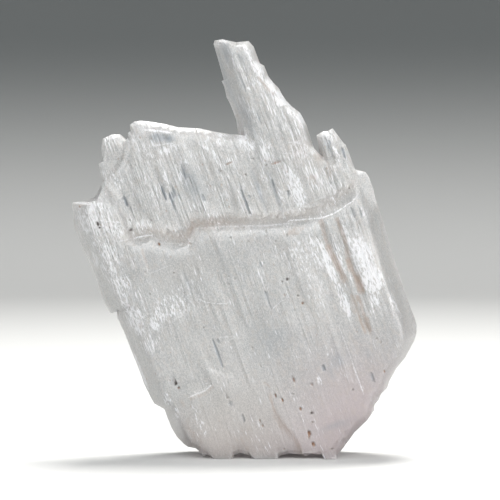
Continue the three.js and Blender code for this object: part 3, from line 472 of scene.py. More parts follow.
def soft_noise(u, v, scale_u, scale_v, offset):
    """Smooth noise between about -1 and 1 for each point."""
    return np.array([
        noise.noise(Vector((a / scale_u + offset, b / scale_v - offset, offset * 0.37)))
        for a, b in zip(u, v)])


def oval(u, v, patch):
    """The oval's strength in its middle, falling off softly to 0 outside it."""
    middle_u, middle_v, half_u, half_v, strength = patch
    far = ((u - middle_u) / half_u) ** 2 + ((v - middle_v) / half_v) ** 2
    return strength * np.exp(-far * 0.9)


def plateau(u, v, patch):
    """One strength all over an oval place, falling off over its rim."""
    middle_u, middle_v, half_u, half_v, strength = patch
    far = np.hypot((u - middle_u) / half_u, (v - middle_v) / half_v)
    return strength * np.clip((1.2 - far) / 0.45, 0.0, 1.0)


def pit(u, v, patch):
    """The pit's strength over a small round place, with a short soft rim."""
    middle_u, middle_v, half_u, half_v, strength = patch
    far = np.hypot((u - middle_u) / half_u, (v - middle_v) / half_v)
    return strength * np.clip(1.6 - far, 0.0, 1.0)


def line_distance(u, v, corners):
    """Distance of each point from a line with corners."""
    nearest = np.full(len(u), FAR)
    for (u0, v0), (u1, v1) in zip(corners, corners[1:]):
        run_u = u1 - u0
        run_v = v1 - v0
        share = np.clip(((u - u0) * run_u + (v - v0) * run_v) / (run_u ** 2 + run_v ** 2), 0.0, 1.0)
        gap = np.hypot(u - u0 - share * run_u, v - v0 - share * run_v)
        nearest = np.minimum(nearest, gap)
    return nearest


def line_side(u, v, corners):
    """Distance of each point from a line with corners, below 0 on the line's right."""
    nearest = np.full(len(u), FAR)
    side = np.ones(len(u))
    for (u0, v0), (u1, v1) in zip(corners, corners[1:]):
        gap = line_distance(u, v, ((u0, v0), (u1, v1)))
        turn = (u1 - u0) * (v - v0) - (v1 - v0) * (u - u0)
        side = np.where(gap < nearest, np.where(turn < 0.0, -1.0, 1.0), side)
        nearest = np.minimum(nearest, gap)
    return side * nearest


def stroke(u, v, line):
    """The line's strength along a thin line, falling off beside it."""
    corners, half_width, strength = line
    return strength * np.clip(1.7 - line_distance(u, v, corners) / half_width, 0.0, 1.0)


def slit(u, v, mark):
    """The slit's strength inside a narrow slit that tapers to both ends."""
    middle_u, low, high, half_width, strength = mark
    along = np.clip((v - low) / (high - low), 0.0, 1.0)
    beyond = np.maximum(low - v, 0.0) + np.maximum(v - high, 0.0)
    taper = half_width * (0.35 + 0.65 * np.sin(math.pi * along) ** 0.5)
    far = np.hypot(u - middle_u, beyond) / taper
    return strength * np.clip(1.6 - far, 0.0, 1.0)


def strongest(u, v, shape, marks):
    """The strongest of a list of marks at each point."""
    return np.max([shape(u, v, mark) for mark in marks], axis=0)


def line_strength(u, v):
    """How strongly each part of the surface is striated, from 0 to 1."""
    everywhere = 0.24
    plate = 0.52 * (1.0 / (1.0 + np.exp(-(v - 24.6) / 0.6)))
    left = 0.6 * np.exp(-((u + 6.0) / 2.0) ** 2) * (v > 14)
    right = 0.45 * (np.exp(-((u - 17.8) / 3.4) ** 2) / (1.0 + np.exp(-(v - 10.0) / 1.5)))
    middle = 0.25 * np.exp(-((u - 10.0) / 5.0) ** 2 - ((v - 18.0) / 5.0) ** 2)
    patchy = 0.70 + 1.1 * soft_noise(u, v, 1.5, 2.4, 81.0)
    return np.clip((everywhere + plate + left + right + middle) * patchy, 0.0, 1.0)


def settle_cuts(places, marks):
    """Moves the cut nearest each small mark onto its middle."""
    for mark in marks:
        nearest = np.argmin(np.abs(places - mark * MM))
        places[nearest] = mark * MM
    return np.sort(places)


def refine_marks(piece, lean):
    """Splits the long edges near the small marks, so that a mark can be shaped and coloured."""
    near_line = 0.35
    near_ledge = 1.0
    front_from = 0.5
    long_edge = 0.28
    points = read_points(piece)
    u, v, w = blade_coordinates(points, lean)
    edges = np.zeros(len(piece.data.edges) * 2, np.int64)
    piece.data.edges.foreach_get("vertices", edges)
    edges = edges.reshape(-1, 2)
    middle = [0.5 * (value[edges[:, 0]] + value[edges[:, 1]]) for value in (u, v, w)]
    run_u = np.abs(u[edges[:, 0]] - u[edges[:, 1]])
    run_v = np.abs(v[edges[:, 0]] - v[edges[:, 1]])
    near = np.zeros(len(edges), bool)
    boxes = [(at_u - half_u - 0.25, at_u + half_u + 0.25, at_v - 0.5, at_v + 0.5)
             for at_u, at_v, half_u, _, _ in DARK_PITS + RUST_PITS]
    boxes += [(at_u - 0.45, at_u + 0.45, low - 0.3, high + 0.3) for at_u, low, high, _, _ in SLITS]
    for left, right, low, high in boxes:
        inside = (middle[0] > left) & (middle[0] < right) & (middle[1] > low) & (middle[1] < high)
        near |= inside
    for corners, _, _ in WHITE_LINES_AND_HIGHLIGHTS + STAIN_LINES:
        near |= line_distance(middle[0], middle[1], corners) < near_line
    near |= line_distance(middle[0], middle[1], LEDGE) < near_ledge
    chosen = near & (middle[2] > front_from) & (run_v > long_edge) & (run_v > run_u)
    make_active(piece)
    bpy.ops.object.mode_set(mode="EDIT")
    bpy.ops.mesh.select_mode(type="EDGE")
    bpy.ops.mesh.select_all(action="DESELECT")
    bpy.ops.object.mode_set(mode="OBJECT")
    piece.data.edges.foreach_set("select", chosen)
    bpy.ops.object.mode_set(mode="EDIT")
    bpy.ops.mesh.subdivide(number_cuts=3, smoothness=0.0, ngon=True, quadcorner="INNERVERT")
    bpy.ops.mesh.select_mode(type="VERT")
    bpy.ops.object.mode_set(mode="OBJECT")


def spread(count, step, reach):
    """Weights that spread each row of a grid over its neighbours."""
    place = np.arange(count) * step
    return np.exp(-0.5 * ((place[:, None] - place[None, :]) / reach) ** 2)


def soften(piece, settings):
    """Wears the steps of the front rounder, in depth alone. The rim is left, so the outline stays sharp."""
    points = read_points(piece)
    u, v, w = blade_coordinates(points, settings.lean)
    across, along, outward = blade_directions(settings.lean)
    step = 0.15
    margin = 0.5
    broad_from = 1.0
    flatter_across = 2.8 * settings.wear_across / MM
    flatter_along = 2.2 * settings.wear_along / MM
    low_u = u.min() - margin
    low_v = v.min() - margin
    count_u = int((u.max() + margin - low_u) / step) + 2
    count_v = int((v.max() + margin - low_v) / step) + 2
    tree = BVHTree.FromObject(piece, bpy.context.evaluated_depsgraph_get())
    height = np.zeros((count_u, count_v))
    ahead = outward * (20.0 * MM) - Vector((0.0, 0.0, FOOT_CUT))
    for i in range(count_u):
        for j in range(count_v):
            start = across * ((low_u + i * step) * MM) + along * ((low_v + j * step) * MM) + ahead
            hit = tree.ray_cast(start, -outward)[0]
            if hit is not None:
                height[i, j] = hit.dot(outward) / MM
    broad = (height > broad_from).astype(float)
    over_u = spread(count_u, step, settings.wear_across / MM)
    over_v = spread(count_v, step, settings.wear_along / MM)
    soft = (over_u @ (height * broad) @ over_v) / np.maximum(over_u @ broad @ over_v, 1e-6)
    wide_u = spread(count_u, step, flatter_across)
    wide_v = spread(count_v, step, flatter_along)
    flatter = (wide_u @ (height * broad) @ wide_v) / np.maximum(wide_u @ broad @ wide_v, 1e-6)
    cover = (over_u @ broad @ over_v) / (over_u @ np.ones_like(broad) @ over_v)
    i = np.clip(((u - low_u) / step).astype(int), 0, count_u - 2)
    j = np.clip(((v - low_v) / step).astype(int), 0, count_v - 2)
    share_u = (u - low_u) / step - i
    share_v = (v - low_v) / step - j

    def at_points(grid):
        """The grid's value at each corner of the mesh."""
        near = (1.0 - share_v) * grid[i, j] + share_v * grid[i, j + 1]
        far = (1.0 - share_v) * grid[i + 1, j] + share_v * grid[i + 1, j + 1]
        return (1.0 - share_u) * near + share_u * far

    rim_cover = 0.62
    rim_fade = 0.3
    share = np.clip((at_points(cover) - rim_cover) / rim_fade, 0.0, 1.0) * (w > 0.0)
    worn = np.clip(strongest(u, v, oval, WORN_PATCHES) * 1.4, 0.0, 1.0)
    worn = np.maximum(worn, 0.75 * np.exp(-(line_distance(u, v, LEDGE) / 1.6) ** 2))
    rounded = at_points(soft) + worn * (at_points(flatter) - at_points(soft))
    points[:, 1] -= share * settings.wear_share * (rounded - w) * MM
    write_points(piece, points)


def striate(piece, settings, cuts_u):
    """Moves the surface in and out between the cuts: fine ridges that rise and die out along the blade."""
    points = read_points(piece)
    u, v, w = blade_coordinates(points, settings.lean)
    chance = np.random.default_rng(settings.seed)
    places = cuts_u / MM
    depth = settings.striation_depth / MM
    moved = np.zeros(len(u))
    for side in (1.0, -1.0):
        heights = chance.uniform(-1.0, 0.7, len(places))
        heights += 0.9 * (chance.uniform(0.0, 1.0, len(places)) > 0.86)
        profile = np.interp(u, places, heights)
        life = 0.55 + 0.9 * soft_noise(u, v, 0.8, 7.0, 3.1 * side + 11.0)
        wave = soft_noise(u, v, 4.0, 9.0, 5.7 * side + 2.0)
        lift = depth * line_strength(u, v) * profile * np.clip(life, 0.0, 1.3) + SWELL * wave
        if side > 0.0:
            lift -= PIT_DEPTH * strongest(u, v, pit, DARK_PITS + RUST_PITS)
            lift -= SLIT_DEPTH * strongest(u, v, slit, SLITS)
            lift += LINE_HEIGHT * strongest(u, v, stroke, WHITE_LINES_AND_HIGHLIGHTS)
            ragged = soft_noise(u, v, 0.55, 0.40, 17.0) + 0.6 * soft_noise(u, v, 0.2, 0.3, 29.0)
            lift += LEDGE_RELIEF * ragged * np.exp(-(line_distance(u, v, LEDGE) / 0.8) ** 2)
        facing = np.clip(side * w / 1.2, 0.0, 1.0)
        moved += side * lift * facing
    points[:, 1] -= moved * MM
    write_points(piece, points)


def paint(piece, name, values):
    """Keeps a value between 0 and 1 at each corner, for the material to read."""
    layer = piece.data.attributes.new(name=name, type="FLOAT", domain="POINT")
    layer.data.foreach_set("value", np.clip(values, 0.0, 1.0).astype(np.float32))


def relief_of(piece):
    """How far each corner stands out from its neighbours: above 0 on edges, below 0 in seams."""
    mesh = piece.data
    points = read_points(piece) / MM
    edges = np.zeros(len(mesh.edges) * 2, np.int64)
    mesh.edges.foreach_get("vertices", edges)
    edges = edges.reshape(-1, 2)
    normals = np.zeros(len(mesh.vertices) * 3, np.float32)
    mesh.vertices.foreach_get("normal", normals)
    normals = normals.reshape(-1, 3)
    ahead = points[edges[:, 1]] - points[edges[:, 0]]
    length = np.maximum(np.linalg.norm(ahead, axis=1), 1e-6)
    total = np.zeros(len(points))
    count = np.zeros(len(points))
    for first, sign in ((0, 1.0), (1, -1.0)):
        slope = sign * np.einsum("ij,ij->i", ahead, normals[edges[:, first]]) / length
        np.add.at(total, edges[:, first], -slope)
        np.add.at(count, edges[:, first], 1.0)
    return total / np.maximum(count, 1.0)


def turned_away(piece, limit, fade):
    """1 where the surface faces the side more than a limit, and 0 on the two broad faces."""
    normals = np.zeros(len(piece.data.vertices) * 3, np.float32)
    piece.data.vertices.foreach_get("normal", normals)
    facing = np.abs(normals.reshape(-1, 3)[:, 1])
    return np.clip((limit - facing) / fade, 0.0, 1.0)


def paint_blade(piece, settings):
    """Keeps the white, clear, stained, dirt-filled, warm and lilac places of the stone on the mesh, and its
    painted highlights and painted shade.
    """
    points = read_points(piece)
    u, v, w = blade_coordinates(points, settings.lean)
    front = np.clip((w + 0.3) / 0.9, 0.0, 1.0)
    back = 1.0 - front
    foot = np.clip(1.5 - points[:, 2] / (1.0 * MM), 0.0, 1.0)
    relief = relief_of(piece)

    # White etched places, with painted highlights on the spike's rims.
    white = strongest(u, v, plateau, WHITE_PATCHES_AND_HIGHLIGHTS) * front
    white += back * np.clip(soft_noise(u, v, 3.0, 6.0, 21.0) * 1.4, 0.0, 0.8)
    # The foot is painted lighter: painted light that lifts the dark of its bevels.
    paint(piece, "white", np.maximum(white, 0.15 * foot))
    line_fade = 0.25
    near_line = np.zeros(len(u))
    across_line = np.full(len(u), LINE_REACH)
    # White lines, some of them painted highlights on rims and on the ledge's lip.
    for corners, half_width, strength in WHITE_LINES_AND_HIGHLIGHTS:
        away = line_side(u, v, corners) / half_width
        closer = np.abs(away) < np.abs(across_line)
        across_line = np.where(closer, away, across_line)
        strong = strength * np.clip(2.2 - np.abs(away) * half_width / line_fade, 0.0, 1.0)
        near_line = np.where(closer, strong, near_line)
    paint(piece, "line", near_line * front)
    paint(piece, "across", 0.5 + 0.5 * across_line / LINE_REACH)

    # Clear places and slits, painted in the cool dark grey of the background seen through them.
    clear = np.maximum(strongest(u, v, oval, CLEAR_PATCHES), strongest(u, v, slit, SLITS)) * front
    clear += back * np.clip(soft_noise(u, v, 0.6, 5.0, 33.0) * 1.6 - 0.5, 0.0, 0.8)
    paint(piece, "clear", clear)

    ledge = np.exp(-(line_distance(u, v, LEDGE) / 0.75) ** 2)
    # Along the ledge the stain share rises, most near its middle: partly stain, partly painted shade of the
    # up-facing slope.
    ledge_shade_and_stain = 0.07 + 0.40 * np.exp(-((u - 4.6) / 4.4) ** 2) + 0.20 * soft_noise(u, v, 1.1, 0.7, 61.0)
    stain = np.maximum(strongest(u, v, oval, STAIN_PATCHES), strongest(u, v, stroke, STAIN_LINES))
    stain = np.maximum(stain, ledge * ledge_shade_and_stain) * front
    stain += back * np.clip(soft_noise(u, v, 2.0, 1.2, 45.0) * 2.0 - 0.9, 0.0, 0.6)
    paint(piece, "stain", stain)
    paint(piece, "dirt", strongest(u, v, pit, DARK_PITS) * front)
    paint(piece, "rust", strongest(u, v, pit, RUST_PITS) * front)

    # The side bevels, which are painted lighter below as painted light.
    smooth = turned_away(piece, 0.80, 0.25) * np.clip(1.6 - np.abs(w) / 2.4, 0.0, 1.0)
    # The rims of the outline above the lower part, for a painted highlight.
    rim = turned_away(piece, 0.50, 0.20) * np.clip(1.6 - np.abs(w), 0.0, 1.0)
    rim = rim * np.clip((v - 10.0) / 3.0, 0.0, 1.0)
    cloud = np.interp(v, CLOUD_PLACES, CLOUD_VALUES)
    # Painted light: the side bevels are lighter. Painted shade: darker along the ledge, most near its middle.
    cloud += 0.24 * smooth - (0.03 + 0.22 * np.exp(-((u - 4.2) / 3.4) ** 2)) * ledge * front
    # Painted highlight: the rims are lighter.
    cloud += 0.50 * rim
    # Painted shade: the outline is darker in the lower part.
    cloud -= 0.35 * np.clip(1.4 - np.abs(w), 0.0, 1.0) * np.clip((14.0 - v) / 3.0, 0.0, 1.0)
    paint(piece, "cloud", cloud + 1.3 * sum(oval(u, v, patch) for patch in CLOUDS) * front)
    low = np.exp(-(points[:, 2] / (3.4 * MM)) ** 2)
    paint(piece, "blush", np.exp(-((u - 13.0) / 7.4) ** 2 - ((v - 0.6) / 6.5) ** 2) + 0.5 * low)
    warm = np.exp(-((u + 0.5) / 6.5) ** 2 - ((v - 2.5) / 6.0) ** 2)
    warm += ledge * front + strongest(u, v, oval, CREAM_PATCHES) * front
    paint(piece, "warm", warm)
    # Painted highlight: convex edges of the relief are whitened in the colour.
    paint(piece, "edge", relief * 3.0)
    paint(piece, "seam", -relief * 3.0)
    paint(piece, "etched", 0.03 + sum(oval(u, v, patch) for patch in ETCHED_PATCHES) * front)
    paint(piece, "lined", line_strength(u, v))
    paint(piece, "smooth", smooth * (1.0 - foot))


# ---------------------------------------------------------------- shader groups

def new_group(name, inputs, outputs):
    """A shader node group with named sockets."""
    group = bpy.data.node_groups.new(name, "ShaderNodeTree")
    for socket_name, kind, default in inputs:
        socket = group.interface.new_socket(socket_name, in_out="INPUT", socket_type=kind)
        if default is not None:
            socket.default_value = default
    for socket_name, kind in outputs:
        group.interface.new_socket(socket_name, in_out="OUTPUT", socket_type=kind)
    return group, group.nodes.new("NodeGroupInput"), group.nodes.new("NodeGroupOutput")


def maths(tree, operation, first, second=None, third=None, clamp=False):
    """A Math node. Each value is a number or a socket."""
    node = tree.nodes.new("ShaderNodeMath")
    node.operation = operation
    node.use_clamp = clamp
    for index, value in enumerate((first, second, third)):
        if value is None:
            continue
        if isinstance(value, (int, float)):
            node.inputs[index].default_value = value
        else:
            tree.links.new(value, node.inputs[index])
    return node.outputs[0]


def scaled(tree, vector, scale):
    """The vector with its three parts multiplied."""
    node = tree.nodes.new("ShaderNodeVectorMath")
    node.operation = "MULTIPLY"
    tree.links.new(vector, node.inputs[0])
    node.inputs[1].default_value = scale
    return node.outputs[0]


def noise_value(tree, vector, stretch, detail, roughness=0.55):
    """The value of a Noise texture, stretched along the crystal."""
    node = tree.nodes.new("ShaderNodeTexNoise")
    node.inputs["Scale"].default_value = 1.0
    node.inputs["Detail"].default_value = detail
    node.inputs["Roughness"].default_value = roughness
    tree.links.new(scaled(tree, vector, stretch), node.inputs["Vector"])
    return node.outputs["Fac"]


def swing(tree, value, amount, middle):
    """A noise turned into a swing of some amount about a middle."""
    return maths(tree, "MULTIPLY_ADD", maths(tree, "SUBTRACT", value, 0.5), amount, middle)


def blend_colour(tree, share, first, second, mode="MIX"):
    """A Mix node for colours. Each colour is a tuple or a socket."""
    node = tree.nodes.new("ShaderNodeMix")
    node.data_type = "RGBA"
    node.blend_type = mode
    node.clamp_factor = True
    for socket, value in ((node.inputs[0], share), (node.inputs[6], first), (node.inputs[7], second)):
        if isinstance(value, (int, float)):
            socket.default_value = value
        elif isinstance(value, tuple):
            socket.default_value = (*value[:3], 1.0)
        else:
            tree.links.new(value, socket)
    return node.outputs[2]


def stretch_range(tree, value, low, high, new_low=0.0, new_high=1.0):
    """Maps a range of values to another, clamped."""
    node = tree.nodes.new("ShaderNodeMapRange")
    node.inputs["From Min"].default_value = low
    node.inputs["From Max"].default_value = high
    node.inputs["To Min"].default_value = new_low
    node.inputs["To Max"].default_value = new_high
    tree.links.new(value, node.inputs["Value"])
    return node.outputs["Result"]


def striation_group():
    """Fine lines along the crystal: soft streaks, thin bright glints and short dark dashes."""
    group, source, result = new_group(
        "Fine striations",
        (("Vector", "NodeSocketVector", None), ("Strength", "NodeSocketFloat", 0.5)),
        (("Streaks", "NodeSocketFloat"), ("Glints", "NodeSocketFloat"), ("Dashes", "NodeSocketFloat"),
         ("Height", "NodeSocketFloat")))
    vector = source.outputs["Vector"]
    strength = source.outputs["Strength"]
    broad = noise_value(group, vector, BROAD_STREAKS, 2.0)
    fine = noise_value(group, vector, FINE_STREAKS, 2.0, 0.6)
    mixed = maths(group, "ADD", maths(group, "MULTIPLY", fine, 0.80), maths(group, "MULTIPLY", broad, 0.36))
    mixed = maths(group, "SUBTRACT", mixed, 0.08)
    streaks = maths(group, "MULTIPLY", maths(group, "SUBTRACT", mixed, 0.5), strength)
    thin = noise_value(group, vector, THIN_GLINTS, 1.0, 0.5)
    bundle = noise_value(group, vector, BUNDLES, 1.0)
    likely = maths(group, "MULTIPLY_ADD", strength, 0.22, maths(group, "MULTIPLY_ADD", bundle, 0.25, thin))
    glints = stretch_range(group, likely, 0.86, 0.98)
    dark = noise_value(group, vector, SHORT_DASHES, 1.0, 0.5)
    dashes = maths(group, "MULTIPLY", stretch_range(group, dark, 0.36, 0.28), strength)
    group.links.new(streaks, result.inputs["Streaks"])
    group.links.new(glints, result.inputs["Glints"])
    group.links.new(dashes, result.inputs["Dashes"])
    group.links.new(maths(group, "MULTIPLY_ADD", dashes, -0.35, streaks), result.inputs["Height"])
    return group


def etching_group():
    """Small blocky etch marks, longer along the crystal than across it."""
    group, source, result = new_group(
        "Etch marks",
        (("Vector", "NodeSocketVector", None), ("Amount", "NodeSocketFloat", 0.5)),
        (("Height", "NodeSocketFloat"), ("Bright", "NodeSocketFloat"), ("Dark", "NodeSocketFloat")))
    vector = source.outputs["Vector"]
    amount = source.outputs["Amount"]
    cells = group.nodes.new("ShaderNodeTexVoronoi")
    cells.distance = "CHEBYCHEV"
    cells.inputs["Scale"].default_value = 1.0
    group.links.new(scaled(group, vector, ETCHED_BLOCKS), cells.inputs["Vector"])
    grain = noise_value(group, vector, ETCHED_GRAIN, 1.0, 0.6)
    blocks = maths(group, "MULTIPLY_ADD", grain, 0.9, cells.outputs["Distance"])
    bright = stretch_range(group, blocks, 0.72, 0.52)
    dark = stretch_range(group, blocks, 0.98, 1.14)
    group.links.new(maths(group, "MULTIPLY", bright, amount, clamp=True), result.inputs["Bright"])
    group.links.new(maths(group, "MULTIPLY", dark, amount, clamp=True), result.inputs["Dark"])
    high = maths(group, "SUBTRACT", 1.0, blocks)
    group.links.new(maths(group, "MULTIPLY", high, amount), result.inputs["Height"])
    return group


def speck_group():
    """Scattered specks of dirt in tiny pits."""
    group, source, result = new_group(
        "Pit specks",
        (("Vector", "NodeSocketVector", None), ("Share", "NodeSocketFloat", 0.2)),
        (("Mask", "NodeSocketFloat"),))
    cells = group.nodes.new("ShaderNodeTexVoronoi")
    cells.inputs["Scale"].default_value = 1.0
    group.links.new(scaled(group, source.outputs["Vector"], SPECK_SPACING), cells.inputs["Vector"])
    chance = group.nodes.new("ShaderNodeSeparateColor")
    group.links.new(cells.outputs["Color"], chance.inputs[0])
    chosen = maths(group, "LESS_THAN", chance.outputs["Red"], source.outputs["Share"])
    size = maths(group, "MULTIPLY_ADD", chance.outputs["Green"], 0.12, 0.08)
    edge = maths(group, "SUBTRACT", 1.0, maths(group, "DIVIDE", cells.outputs["Distance"], size), clamp=True)
    mask = maths(group, "MULTIPLY", chosen, maths(group, "POWER", edge, 0.6))
    group.links.new(mask, result.inputs["Mask"])
    return group


# The pale beige of the warm places.
CREAM = (0.52, 0.455, 0.39)
# The milk colour is multiplied by these where it is dullest, brightest, in the lines' shade and in marks.
MILK_DULL = (0.635, 0.675, 0.703)
MILK_BRIGHT = 1.20
MILK_SHADE = 0.66
MILK_MARK = 0.45
# The painted values that the stone's colour reads, by their sockets.
PAINTED = ("White", "Line", "Across", "Clear", "Stain", "Dirt", "Rust", "Cloud", "Blush", "Warm", "Edge",
           "Seam", "Smooth")


def stone_group(settings):
    """Colour and roughness of the stone from its painted places and its haze."""
    inputs = PAINTED + ("Streaks", "Glints", "Dashes", "Bright", "Dark", "Specks")
    group, source, result = new_group(
        "Kunzite colour",
        (("Vector", "NodeSocketVector", None),) + tuple((name, "NodeSocketFloat", 0.0) for name in inputs),
        (("Color", "NodeSocketColor"), ("Roughness", "NodeSocketFloat")))
    vector = source.outputs["Vector"]
    mask = {name: source.outputs[name] for name in inputs}
    milk = tuple(settings.milk)
    veil = noise_value(group, vector, VEIL, 4.0, 0.6)
    ragged = noise_value(group, vector, RAGGED, 3.0, 0.65)
    plain = maths(group, "SUBTRACT", 1.0, maths(group, "MULTIPLY", mask["Smooth"], 0.75))

    def broken(value):
        """A painted place with a ragged edge."""
        shift = maths(group, "MULTIPLY", maths(group, "SUBTRACT", ragged, 0.5), 1.2)
        rim = maths(group, "MINIMUM", maths(group, "ADD", shift, value), maths(group, "MULTIPLY", value, 3.0))
        return stretch_range(group, rim, 0.1, 1.0)

    def most(*values):
        """The largest of some values."""
        top = values[0]
        for value in values[1:]:
            top = maths(group, "MAXIMUM", top, value, clamp=True)
        return top

    def part(value, share):
        """A value times a plain number or another value."""
        return maths(group, "MULTIPLY", value, share)

    grain = noise_value(group, vector, GRAIN, 1.0, 0.5)
    tone = swing(group, veil, 0.60, mask["Cloud"])
    tone = swing(group, grain, 1.7, tone)
    dust = noise_value(group, vector, DUST, 1.0, 0.5)
    speckled = maths(group, "MULTIPLY_ADD", mask["Cloud"], -2.4, 3.3)
    tone = swing(group, dust, speckled, tone)
    tone = stretch_range(group, tone, -0.13, 1.0)
    dull = tuple(part_of_milk * share for part_of_milk, share in zip(milk, MILK_DULL))
    colour = blend_colour(group, tone, dull, tuple(c * MILK_BRIGHT for c in milk))
    colour = blend_colour(group, part(mask["Blush"], 0.75), colour, tuple(settings.blush))
    tint = noise_value(group, vector, TINT, 3.0, 0.7)
    warmth = most(part(mask["Warm"], 0.34), stretch_range(group, tint, 0.48, 0.66, 0.0, 0.30))
    colour = blend_colour(group, warmth, colour, CREAM)
    light = part(stretch_range(group, mask["Streaks"], 0.0, 0.16), plain)
    shade = part(stretch_range(group, mask["Streaks"], 0.0, -0.16), plain)
    colour = blend_colour(group, part(light, 0.40), colour, tuple(settings.frost))
    colour = blend_colour(group, part(shade, 0.36), colour, tuple(c * MILK_SHADE for c in milk))
    splinters = noise_value(group, vector, SPLINTERS, 2.0, 0.6)
    chips = maths(group, "MULTIPLY_ADD", ragged, 0.45, maths(group, "MULTIPLY_ADD", splinters, 0.9, -0.175))
    chips = maths(group, "MULTIPLY_ADD", mask["White"], 0.24, chips)
    covered = maths(group, "MULTIPLY", mask["White"], 2.2, clamp=True)
    frost = part(stretch_range(group, chips, 0.61, 0.72), covered)
    away = maths(group, "MULTIPLY_ADD", mask["Across"], 2.0 * LINE_REACH, -LINE_REACH)
    away = maths(group, "ABSOLUTE", away)
    away = maths(group, "MULTIPLY_ADD", maths(group, "SUBTRACT", 0.5, ragged), 4.0, away)
    gaps = noise_value(group, vector, GAPS, 2.0, 0.6)
    gaps = maths(group, "MULTIPLY_ADD", mask["Line"], 0.16, gaps)
    lines = part(mask["Line"], stretch_range(group, away, 1.1, 0.4))
    lines = part(lines, stretch_range(group, gaps, 0.50, 0.60, 0.12, 1.0))
    glints = part(mask["Glints"], plain)
    # White: frost, etch marks and white lines, with painted highlights: glints, convex edges and the
    # highlight lines.
    white = most(part(frost, 0.90), glints, mask["Bright"], part(mask["Edge"], 0.3), lines)
    colour = blend_colour(group, white, colour, tuple(settings.frost))
    # Painted shade: clear places and slits take the dark of the background seen through them.
    clear = part(mask["Clear"], stretch_range(group, ragged, 0.25, 0.50, 0.45, 1.0))
    colour = blend_colour(group, part(clear, 0.85), colour, tuple(settings.window))
    dim = most(part(part(mask["Dashes"], plain), 0.55), part(mask["Dark"], 0.55))
    colour = blend_colour(group, dim, colour, tuple(c * MILK_MARK for c in milk))
    # Brown: stains, iron in the seams and specks, and painted shade along the ledge.
    stained = part(broken(mask["Stain"]), 0.80)
    brown = most(stained, part(mask["Seam"], 0.18), part(mask["Specks"], 0.8))
    colour = blend_colour(group, brown, colour, tuple(settings.stain))
    chipped = maths(group, "MULTIPLY", maths(group, "SUBTRACT", ragged, 0.5), 0.9)
    rust = stretch_range(group, maths(group, "ADD", mask["Rust"], chipped), 0.34, 0.80)
    colour = blend_colour(group, rust, colour, tuple(settings.rust))
    dirt = stretch_range(group, maths(group, "ADD", mask["Dirt"], chipped), 0.34, 0.85)
    colour = blend_colour(group, dirt, colour, tuple(settings.dirt))
    group.links.new(colour, result.inputs["Color"])

    rough = stretch_range(group, veil, 0.3, 0.7, 0.30, 0.36)
    rough = maths(group, "MULTIPLY_ADD", white, 0.14, rough)
    rough = maths(group, "MULTIPLY_ADD", brown, 0.20, rough, clamp=True)
    group.links.new(rough, result.inputs["Roughness"])
    return group


def place_group(tree, group):
    """A group node in a material."""
    node = tree.nodes.new("ShaderNodeGroup")
    node.node_tree = group
    return node


def painted(tree, name):
    """Reads a value that was kept on the mesh."""
    node = tree.nodes.new("ShaderNodeAttribute")
    node.attribute_name = name
    return node.outputs["Fac"]


def kunzite_material(settings):
    """Milky, see-through stone: one shader over grouped colours and heights."""
    material = bpy.data.materials.new("Milky kunzite")
    material.use_nodes = True
    tree = material.node_tree
    tree.nodes.clear()
    output = tree.nodes.new("ShaderNodeOutputMaterial")
    shader = tree.nodes.new("ShaderNodeBsdfPrincipled")
    shader.inputs["Transmission Weight"].default_value = settings.clarity
    shader.inputs["IOR"].default_value = settings.refraction
    shader.inputs["Subsurface Weight"].default_value = 1.0
    shader.inputs["Subsurface Radius"].default_value = (1.0, 0.95, 0.95)
    shader.inputs["Subsurface Scale"].default_value = settings.haze_depth
    tree.links.new(shader.outputs[0], output.inputs["Surface"])
    absorption = tree.nodes.new("ShaderNodeVolumeAbsorption")
    absorption.inputs["Color"].default_value = (*settings.absorption, 1.0)
    absorption.inputs["Density"].default_value = settings.absorption_density
    tree.links.new(absorption.outputs[0], output.inputs["Volume"])

    place = tree.nodes.new("ShaderNodeTexCoord")
    turn = tree.nodes.new("ShaderNodeMapping")
    turn.inputs["Rotation"].default_value = (0.0, settings.lean, 0.0)
    turn.inputs["Scale"].default_value = (1.0 / MM, 1.0 / MM, 1.0 / MM)
    tree.links.new(place.outputs["Object"], turn.inputs["Vector"])
    vector = turn.outputs["Vector"]

    lines = place_group(tree, striation_group())
    marks = place_group(tree, etching_group())
    specks = place_group(tree, speck_group())
    stone = place_group(tree, stone_group(settings))
    for group in (lines, marks, specks, stone):
        tree.links.new(vector, group.inputs["Vector"])
    tree.links.new(painted(tree, "etched"), marks.inputs["Amount"])
    tree.links.new(painted(tree, "lined"), lines.inputs["Strength"])
    specks.inputs["Share"].default_value = 0.16
    for name in PAINTED:
        tree.links.new(painted(tree, name.lower()), stone.inputs[name])
    for name in ("Streaks", "Glints", "Dashes"):
        tree.links.new(lines.outputs[name], stone.inputs[name])
    for name in ("Bright", "Dark"):
        tree.links.new(marks.outputs[name], stone.inputs[name])
    tree.links.new(specks.outputs["Mask"], stone.inputs["Specks"])
    tree.links.new(stone.outputs["Color"], shader.inputs["Base Color"])
    tree.links.new(stone.outputs["Roughness"], shader.inputs["Roughness"])

    grain = noise_value(tree, vector, ROUGH_GRAIN, 2.0, 0.65)
    height = maths(tree, "MULTIPLY_ADD", grain, 0.35, lines.outputs["Height"])
    height = maths(tree, "MULTIPLY_ADD", marks.outputs["Height"], 0.8, height)
    bump = tree.nodes.new("ShaderNodeBump")
    bump.inputs["Strength"].default_value = 0.8
    bump.inputs["Distance"].default_value = settings.bump_height
    tree.links.new(height, bump.inputs["Height"])
    tree.links.new(bump.outputs["Normal"], shader.inputs["Normal"])
    return material


# ---------------------------------------------------------------- operators

